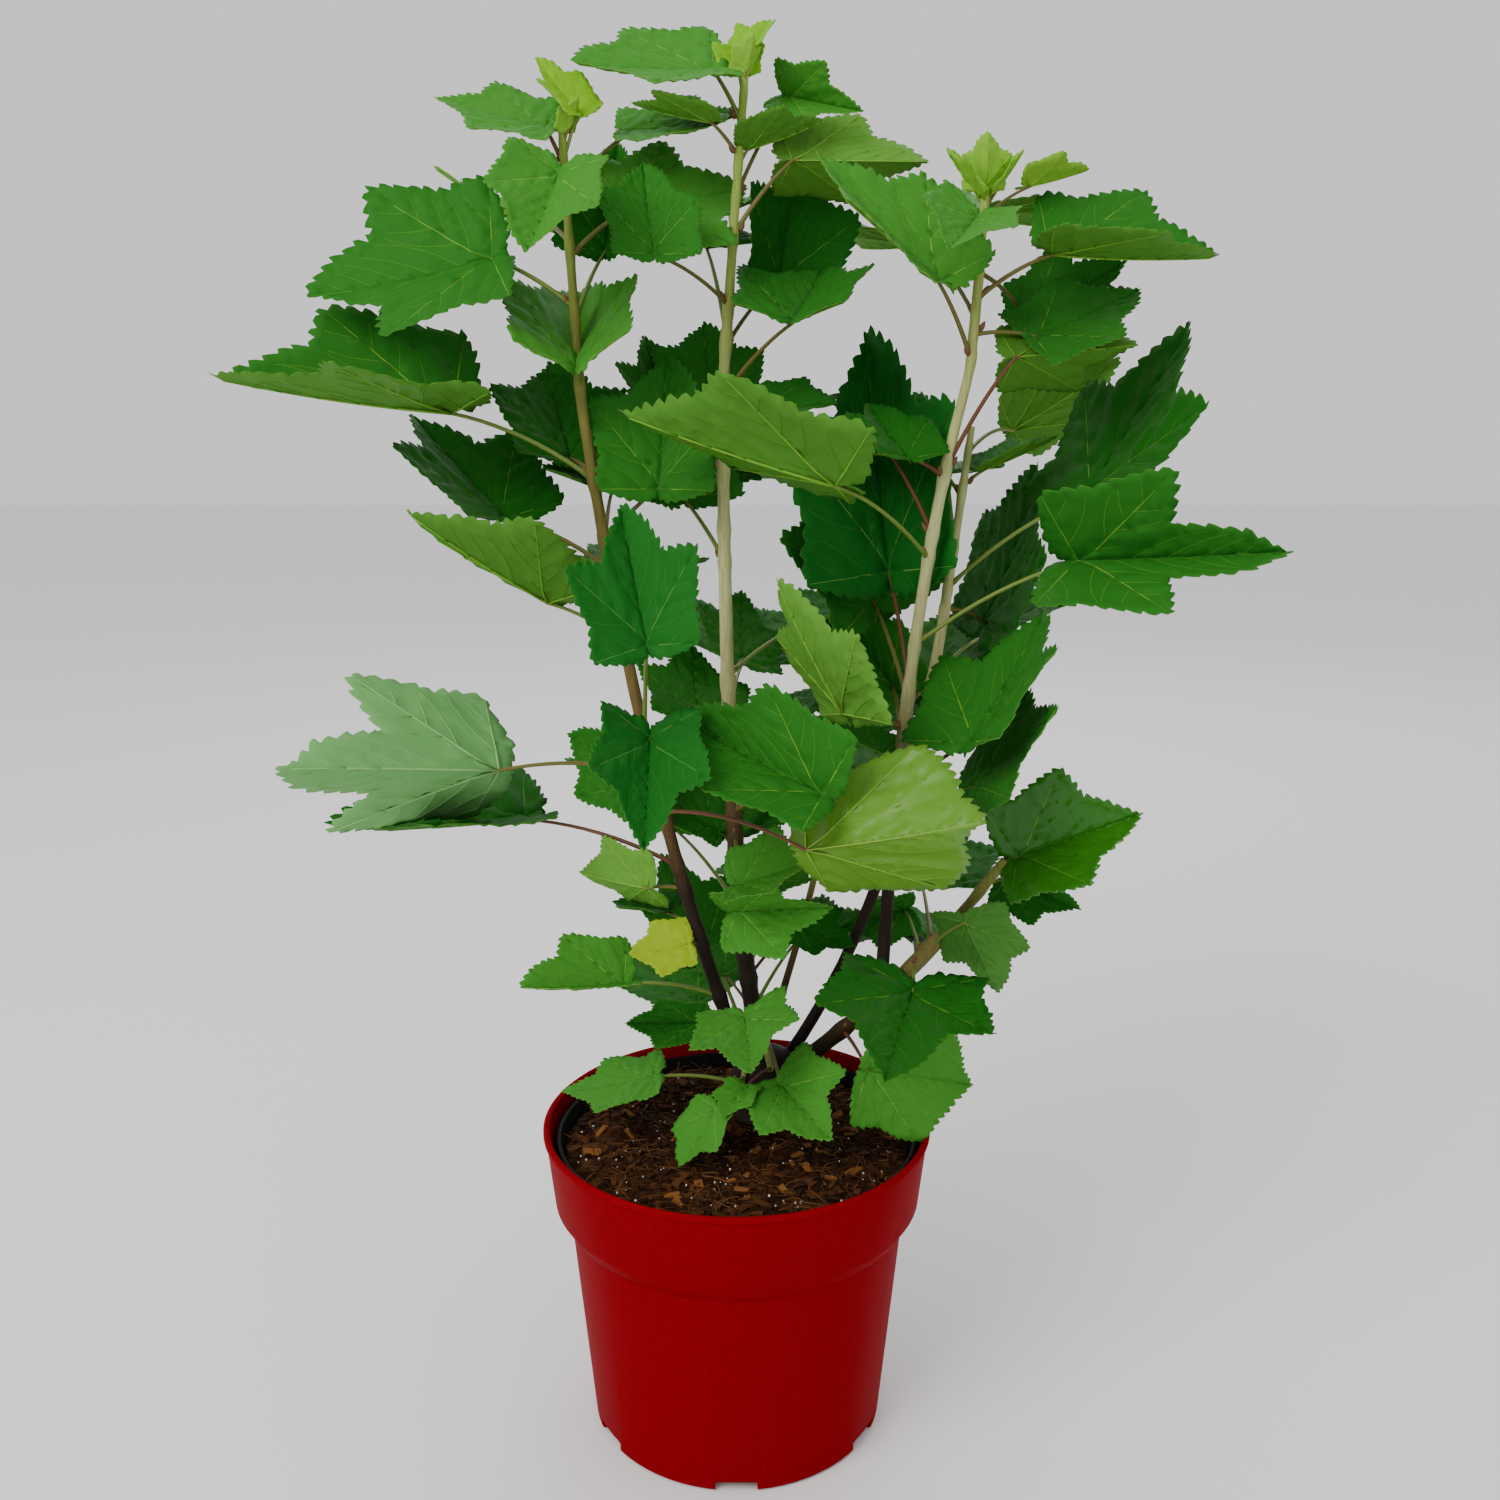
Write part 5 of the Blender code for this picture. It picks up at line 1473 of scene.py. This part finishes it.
def grow_looks(limbs, stems, leaves):
    """Sheets, ribs and stalks of every leaf, and the nodes they stand on, by limb."""
    fine = [leaf_template(**FINE, seed=seed) for seed in range(FINE_TEMPLATES)]
    coarse = [leaf_template(**COARSE, seed=seed) for seed in range(COARSE_TEMPLATES)]
    other = {key: leaf_template(**FINE, seed=FINE_TEMPLATES, cut=cut) for key, cut in CUTS.items()}
    looks = {}
    nodes = {name: [] for name in limbs}
    dice = random.Random(SEED + 1)
    for name, rows in leaves.items():
        sheets, ribs, stalks, buds = Mesh(), Mesh(), Mesh(), Mesh()
        carrier = LEADERS[name][0] if name in LEADERS else SIDE_SHOOTS[name][0]
        on_crown = carrier == "root_crown"
        for row in rows:
            node, bearing, stalk, rise, length, heading, pitch, roll, fold = row
            root, _ = stems[name].at_height(node * MM)
            heart = root + aim(bearing, rise) * stalk * MM
            if name in SIDE_SHOOTS and not on_crown:
                root, _ = limbs[carrier].at_height(node * MM)
            frame = blade_frame(heading, pitch, roll)
            size = length * MM
            habit = {
                "sway": dice.uniform(-SWAY, SWAY),
                "ripple": dice.uniform(*RIPPLE),
                "waves": dice.randint(*RIPPLE_WAVES),
                "phase": dice.uniform(0.0, math.tau),
            }
            template = dice.choice(coarse if size < COARSE_BELOW else fine)
            template = other.get((name, node), template)
            tone = tone_of(name, row, dice)
            add_leaf(sheets, ribs, heart, frame, size, fold, template, habit, TONES.index(tone))
            line = stalk_line(root, heart, frame[0], stalk * MM, size)
            thin = min(1.0, 0.45 + size / (90 * MM))
            widths = [thin * (STALK_R + (STALK_END_R - STALK_R) * min(step / STALK_SEGMENTS, 1.0))
                      for step in range(len(line))]
            widths[0] *= STALK_FOOT_SWELL
            widths[-1] *= 0.5
            stalks.add_solid(tube(line, widths, STALK_AROUND), dice.choice((0, 0, 1, 1, 1, 2)))
            out = aim(bearing, 62.0)
            foot = root + aim(bearing, 0.0) * 2.6 * MM + Vector((0.0, 0.0, 1.5 * MM))
            if size > COARSE_BELOW:
                buds.add_solid(bud(foot, out))
            nodes[carrier].append(node * MM)
        looks[name] = (sheets, ribs, stalks, buds)
    return looks, nodes


def join(meshes):
    """Several gathered meshes as one."""
    joined = Mesh()
    for mesh in meshes:
        if mesh.count:
            joined.add(np.concatenate(mesh.verts), np.concatenate(mesh.faces), np.concatenate(mesh.tones))
    return joined


def dress_foliage(looks, stems, nodes):
    """Joined pieces of leaves, veins, stalks and buds, a group of masses at a time."""
    sheet_materials = []
    rib_materials = []
    for tone, (upper, lower, main_vein, side_vein_colour) in LEAF_TONES.items():
        shiny = tone in SHINY_TONES
        gloss, roughness = (SHINY_GLOSS, 0.30) if shiny else (LEAF_GLOSS, 0.52)
        sheet_materials.append(plain_material("leaf_" + tone, upper, roughness, gloss))
        sheet_materials.append(plain_material("leaf_under_" + tone, lower, roughness + 0.1, gloss))
        rib_materials.append(plain_material("vein_" + tone, main_vein, 0.5, LEAF_GLOSS))
        rib_materials.append(plain_material("side_vein_" + tone, side_vein_colour, 0.5, LEAF_GLOSS))
    stalk_materials = [plain_material("stalk_" + tone, colour, 0.45) for tone, colour in STALK_COLOURS.items()]
    bud_material = plain_material("bud_brown", (0.16, 0.075, 0.035), 0.55)
    for group in ("left", "middle", "right", "low", "back", "foot"):
        names = [name for name in looks if name.startswith(group)]
        kinds = list(zip(*(looks[name] for name in names)))
        sheets = new_piece(group + "_leaves", join(kinds[0]), sheet_materials)
        finish_piece(sheets, "leaf_green", *names)
        ribs = new_piece(group + "_veins", join(kinds[1]), rib_materials)
        finish_piece(ribs, "leaf_green")
        stalks = new_piece(group + "_stalks", join(kinds[2]), stalk_materials)
        finish_piece(stalks, "leaf_green")
        buds = join(kinds[3])
        if buds.count:
            finish_piece(new_piece(group + "_buds", buds, [bud_material]), "bark_brown")


def dress_limbs(limbs, stems, nodes):
    """Barked skins for the root crown, the canes with their leading shoots, and the foot shoots."""
    tan = cane_material("bark_tan", (
        (0.20, (0.014, 0.009, 0.007)),
        (0.27, (0.026, 0.016, 0.010)),
        (0.31, (0.115, 0.070, 0.026)),
        (0.42, (0.170, 0.125, 0.038)),
        (0.50, (0.155, 0.150, 0.036)),
        (0.56, (0.170, 0.210, 0.040)),
        (0.62, (0.230, 0.360, 0.050)),
    ))
    pale = cane_material("bark_pale", (
        (0.20, (0.014, 0.009, 0.007)),
        (0.28, (0.030, 0.020, 0.012)),
        (0.32, (0.120, 0.080, 0.032)),
        (0.37, (0.400, 0.390, 0.180)),
        (0.46, (0.480, 0.500, 0.230)),
        (0.54, (0.320, 0.380, 0.100)),
        (0.62, (0.250, 0.400, 0.060)),
    ))
    olive = cane_material("bark_olive", (
        (0.18, (0.016, 0.010, 0.007)),
        (0.21, (0.060, 0.040, 0.016)),
        (0.25, (0.200, 0.170, 0.055)),
        (0.30, (0.200, 0.230, 0.050)),
    ))
    barks = {"left_cane": tan, "root_crown": tan, "low_right_limb": olive, "back_shoot": olive}
    leaders = {cane: stem for stem, (cane, _, _) in LEADERS.items()}
    for number, (name, limb) in enumerate(limbs.items()):
        points, radii = list(limb.points), list(limb.radii)
        if name in leaders:
            stem = stems[leaders[name]]
            points += stem.points[1:]
            radii = list(np.interp(np.linspace(0, 1, len(points)),
                                   np.concatenate((np.linspace(0, len(limb.points) - 1, len(limb.points)),
                                                   np.arange(len(limb.points), len(points))))
                                   / (len(points) - 1), radii + list(stem.radii[1:])))
        skin = bark_tube(points, radii, nodes.get(name, ()), number * 7.0)
        piece = one_piece(name + "_bark", skin, barks.get(name, pale))
        finish_piece(piece, "bark_brown", name)
    shoots = Mesh()
    for name, (limb, _) in SIDE_SHOOTS.items():
        if limb == "root_crown":
            shoots.add_solid(bark_tube(stems[name].points, stems[name].radii, (), 3.0))
    finish_piece(new_piece("foot_shoots", shoots, [plain_material("shoot_green", (0.20, 0.24, 0.06), 0.5)]), "bark_brown")


def dress_pot():
    """The red pot and the black inner pot as smooth turned shapes with their drainage cut."""
    red = patterned_material("pot_red_skin", (
        (0.35, (0.200, 0.0, 0.0040)),
        (0.62, (0.220, 0.0, 0.0052)),
        (0.80, (0.245, 0.0008, 0.0075)),
    ), 0.50, 420.0, gloss=0.008)
    black = plain_material("liner_black_skin", (0.006, 0.006, 0.006), 0.5, 0.06)
    for name, outline, cutters, material, slot in (
        ("red_pot_skin", pot_outline(), pot_cutters(), red, "pot_red"),
        ("inner_pot_skin", liner_outline(), [], black, "liner_black"),
    ):
        piece = one_piece(name, lathe(outline, POT_LOOK_STEPS), material)
        if cutters:
            group = bpy.data.collections.new("cutters")
            for number, solid in enumerate(cutters):
                data = bpy.data.meshes.new("cutter")
                data.from_pydata([tuple(vert) for vert in solid[0]], [], solid[1])
                group.objects.link(bpy.data.objects.new("cutter", data))
            cut = piece.modifiers.new("drainage", "BOOLEAN")
            cut.operation = "DIFFERENCE"
            cut.operand_type = "COLLECTION"
            cut.collection = group
            cut.solver = "MANIFOLD"
            apply_modifiers(piece)
            for cutter in list(group.objects):
                bpy.data.objects.remove(cutter)
            bpy.data.collections.remove(group)
        bevel = piece.modifiers.new("soft edges", "BEVEL")
        bevel.width = 0.5 * MM
        bevel.segments = 2
        bevel.limit_method = "ANGLE"
        bevel.angle_limit = math.radians(28.0)
        apply_modifiers(piece)
        piece.data.polygons.foreach_set("use_smooth", [True] * len(piece.data.polygons))
        piece.data.set_sharp_from_angle(angle=math.radians(35.0))
        finish_piece(piece, slot, "pot" if slot == "pot_red" else "inner_pot")


def apply_modifiers(piece):
    """Fix a piece's modifiers in its mesh."""
    graph = bpy.context.evaluated_depsgraph_get()
    data = bpy.data.meshes.new_from_object(piece.evaluated_get(graph))
    piece.modifiers.clear()
    piece.data = data


def pot_cutters():
    """Cutters for the drainage notches and their shallow recesses round the base."""
    solids = []
    for notch in range(NOTCHES):
        spin = -90.0 + 360.0 * notch / NOTCHES
        reach = BASE_R + 2.0 * MM - (CHANNEL_OUT - 3.0 * MM)
        middle = (CHANNEL_OUT - 3.0 * MM) + reach / 2
        solids.append(box((middle, 0.0, 0.0), (reach, NOTCH_WIDE, CHANNEL_H * 2), spin))
        recess = (BASE_R + 5.0 * MM - RECESS_DEEP, 0.0, 0.0)
        solids.append(box(recess, (10.0 * MM, RECESS_WIDE, RECESS_H * 2), spin))
        solids.append(drain(spin + 180.0 / NOTCHES))
    return solids


def soil_height(x, y):
    """Height of the soil's rough surface at a place."""
    away = math.hypot(x, y)
    edge = soil_edge()
    drop = SOIL_EDGE_DROP * max(0.0, (away - SOIL_FLAT_R) / (edge - SOIL_FLAT_R))
    lumps = noise.fractal(Vector((x * 45, y * 45, 1.0)), 1.0, 2.0, 3) * SOIL_RELIEF
    grain = noise.fractal(Vector((x * 330, y * 330, 5.0)), 1.0, 2.0, 3) * SOIL_GRAIN
    return SOIL_TOP - drop + lumps + grain


def soil_edge():
    """Radius of the soil's top edge."""
    return soil_outline()[3][0]


def soil_solid():
    """The soil as a closed turned shape with a rough top."""
    edge = soil_edge()
    verts = [Vector((0.0, 0.0, soil_height(0.0, 0.0)))]
    for ring in range(1, SOIL_RINGS + 1):
        away = edge * ring / SOIL_RINGS
        for step in range(SOIL_STEPS):
            angle = math.tau * step / SOIL_STEPS
            x, y = away * math.cos(angle), away * math.sin(angle)
            verts.append(Vector((x, y, soil_height(x, y))))
    faces = [(0, 1 + step, 1 + (step + 1) % SOIL_STEPS) for step in range(SOIL_STEPS)]
    for ring in range(SOIL_RINGS - 1):
        low = 1 + ring * SOIL_STEPS
        for step in range(SOIL_STEPS):
            nxt = (step + 1) % SOIL_STEPS
            faces.append((low + step, low + SOIL_STEPS + step, low + SOIL_STEPS + nxt, low + nxt))
    rows = [1 + (SOIL_RINGS - 1) * SOIL_STEPS]
    for radius, height in (soil_outline()[2], soil_outline()[1]):
        rows.append(len(verts))
        for step in range(SOIL_STEPS):
            angle = math.tau * step / SOIL_STEPS
            verts.append(Vector((radius * math.cos(angle), radius * math.sin(angle), height)))
    for upper, under in zip(rows, rows[1:]):
        for step in range(SOIL_STEPS):
            nxt = (step + 1) % SOIL_STEPS
            faces.append((upper + step, under + step, under + nxt, upper + nxt))
    faces.append(tuple(rows[-1] + step for step in reversed(range(SOIL_STEPS))))
    return verts, faces


def chip(at, length, width, thick, spin, tilt, dice):
    """A split chip of bark: a low wedge with uneven corners."""
    turn = Matrix.Rotation(spin, 3, "Z") @ Matrix.Rotation(tilt, 3, "Y")
    verts = []
    for x in (-0.5, 0.5):
        for y in (-0.5, 0.5):
            for z in (-0.5, 0.5):
                off = Vector((x * length * dice.uniform(0.6, 1.1), y * width * dice.uniform(0.5, 1.2),
                              z * thick * dice.uniform(0.6, 1.2)))
                verts.append(at + turn @ off)
    faces = [(0, 1, 3, 2), (4, 6, 7, 5), (0, 4, 5, 1), (2, 3, 7, 6), (0, 2, 6, 4), (1, 5, 7, 3)]
    return verts, faces


def soil_place(dice):
    """A random place on the soil, clear of its edge."""
    away = (soil_edge() - 4.0 * MM) * math.sqrt(dice.random())
    angle = dice.uniform(0.0, math.tau)
    return away * math.cos(angle), away * math.sin(angle)


def dress_soil():
    """The rough soil with bark chips, crumbs, fibres, and pale grit flecks: partly perlite, partly painted highlights
    for the wet soil's glints.
    """
    ground = patterned_material("soil_skin", (
        (0.35, (0.010, 0.0040, 0.0018)),
        (0.52, (0.034, 0.0130, 0.0050)),
        (0.68, (0.085, 0.0340, 0.0120)),
    ), 0.85, 160.0, bump=0.6, gloss=0.06)
    finish_piece(one_piece("soil_surface", soil_solid(), ground), "soil_brown", "soil")
    dice = random.Random(SEED + 2)
    chips, fibres, grit_glint_bits = Mesh(), Mesh(), Mesh()
    for number in range(CHIPS + CRUMBS):
        x, y = soil_place(dice)
        big = number < CHIPS
        length = dice.uniform(3.0, 11.0) * MM if big else dice.uniform(0.9, 3.0) * MM
        width = length * dice.uniform(0.25, 0.5)
        thick = dice.uniform(0.8, 1.8) * MM if big else length * 0.5
        at = Vector((x, y, soil_height(x, y) + thick * 0.25))
        tone = dice.choice((0, 0, 1, 1, 1, 2)) if big else dice.choice((0, 0, 1))
        chips.add_solid(chip(at, length, width, thick, dice.uniform(0, math.tau), dice.uniform(-0.35, 0.35), dice), tone)
    for number in range(FIBRES):
        x, y = soil_place(dice)
        at = Vector((x, y, soil_height(x, y) + 0.5 * MM))
        ahead = aim(dice.uniform(0, 360), dice.uniform(-8, 18))
        bend = aim(dice.uniform(0, 360), 20.0) * 2.0 * MM
        length = dice.uniform(5.0, 14.0) * MM
        line = [at + ahead * length * share + bend * math.sin(share * math.pi) for share in (0, 0.25, 0.5, 0.75, 1.0)]
        fibres.add_solid(tube(line, [0.22 * MM] * 5, 3), dice.choice((0, 1)))
    # Pale flecks: partly perlite grit, partly painted highlights that stand for glints on the wet soil
    for number in range(GRIT_GLINTS):
        x, y = soil_place(dice)
        at = Vector((x, y, soil_height(x, y) + 0.5 * MM))
        size = dice.uniform(0.4, 0.9) * MM
        grit_glint_bits.add_solid(chip(at, size, size, size, dice.uniform(0, math.tau), 0.4, dice))
    browns = [
        plain_material("chip_dark", (0.022, 0.0085, 0.0035), 0.75, 0.08),
        plain_material("chip_brown", (0.075, 0.0270, 0.0080), 0.75, 0.08),
        plain_material("chip_orange", (0.200, 0.0780, 0.0200), 0.7, 0.08),
    ]
    finish_piece(new_piece("bark_chips", chips, browns, 20.0), "soil_brown")
    fibre_browns = [
        plain_material("fibre_brown", (0.085, 0.034, 0.012), 0.8, 0.08),
        plain_material("fibre_tan", (0.170, 0.075, 0.028), 0.8, 0.08),
    ]
    finish_piece(new_piece("peat_fibres", fibres, fibre_browns), "soil_brown")
    # Pale grit piece: perlite, and painted highlights for the soil's glints
    finish_piece(new_piece("grit_and_glints", grit_glint_bits, [plain_material("grit_glint_pale", (0.75, 0.74, 0.72), 0.4)], 20.0), "soil_brown")


def area_light(name, at, look, size, power, colour):
    """A soft square lamp aimed at a point."""
    data = bpy.data.lights.new(name, "AREA")
    data.size = size
    data.energy = power
    data.color = colour
    lamp = bpy.data.objects.new(name, data)
    lamp.location = at
    lamp.rotation_euler = (Vector(look) - Vector(at)).to_track_quat("-Z", "Y").to_euler()
    bpy.context.scene.collection.objects.link(lamp)


def set_stage():
    """A plain pale floor, a soft studio light and the photo's camera."""
    data = bpy.data.meshes.new("floor")
    reach = 6.0
    data.from_pydata([(-reach, -reach, 0), (reach, -reach, 0), (reach, reach, 0), (-reach, reach, 0)], [], [(0, 1, 2, 3)])
    data.materials.append(plain_material("floor_pale", (0.86, 0.86, 0.86), 0.9))
    floor = bpy.data.objects.new("floor", data)
    bpy.context.scene.collection.objects.link(floor)
    world = bpy.data.worlds.new("studio")
    world.use_nodes = True
    world.node_tree.nodes["Background"].inputs["Color"].default_value = (1.0, 1.0, 1.0, 1.0)
    world.node_tree.nodes["Background"].inputs["Strength"].default_value = 0.9
    bpy.context.scene.world = world
    middle = (0.0, 0.0, 0.35)
    area_light("key", (-1.1, -1.3, 1.7), middle, 1.2, 34.0, (1.0, 0.99, 0.96))
    area_light("fill", (1.5, -1.0, 0.9), middle, 1.4, 1.0, (0.96, 0.98, 1.0))
    area_light("back", (0.4, 1.6, 1.6), middle, 1.4, 10.0, (1.0, 1.0, 1.0))
    camera_data = bpy.data.cameras.new("camera")
    camera_data.lens = CAMERA_LENS
    camera_data.sensor_width = SENSOR
    camera_data.sensor_fit = "HORIZONTAL"
    camera_data.clip_start = 0.01
    camera = bpy.data.objects.new("camera", camera_data)
    camera.location = CAMERA_AT
    camera.rotation_euler = (math.radians(90.0 - CAMERA_DOWN), 0.0, 0.0)
    bpy.context.scene.collection.objects.link(camera)
    bpy.context.scene.camera = camera


def main():
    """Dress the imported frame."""
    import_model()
    limbs = grow_limbs()
    stems = grow_stems(limbs)
    leaves = grow_leaves(stems, all_obstacles(limbs, stems))
    looks, nodes = grow_looks(limbs, stems, leaves)
    dress_foliage(looks, stems, nodes)
    dress_limbs(limbs, stems, nodes)
    dress_pot()
    dress_soil()
    set_stage()


main()
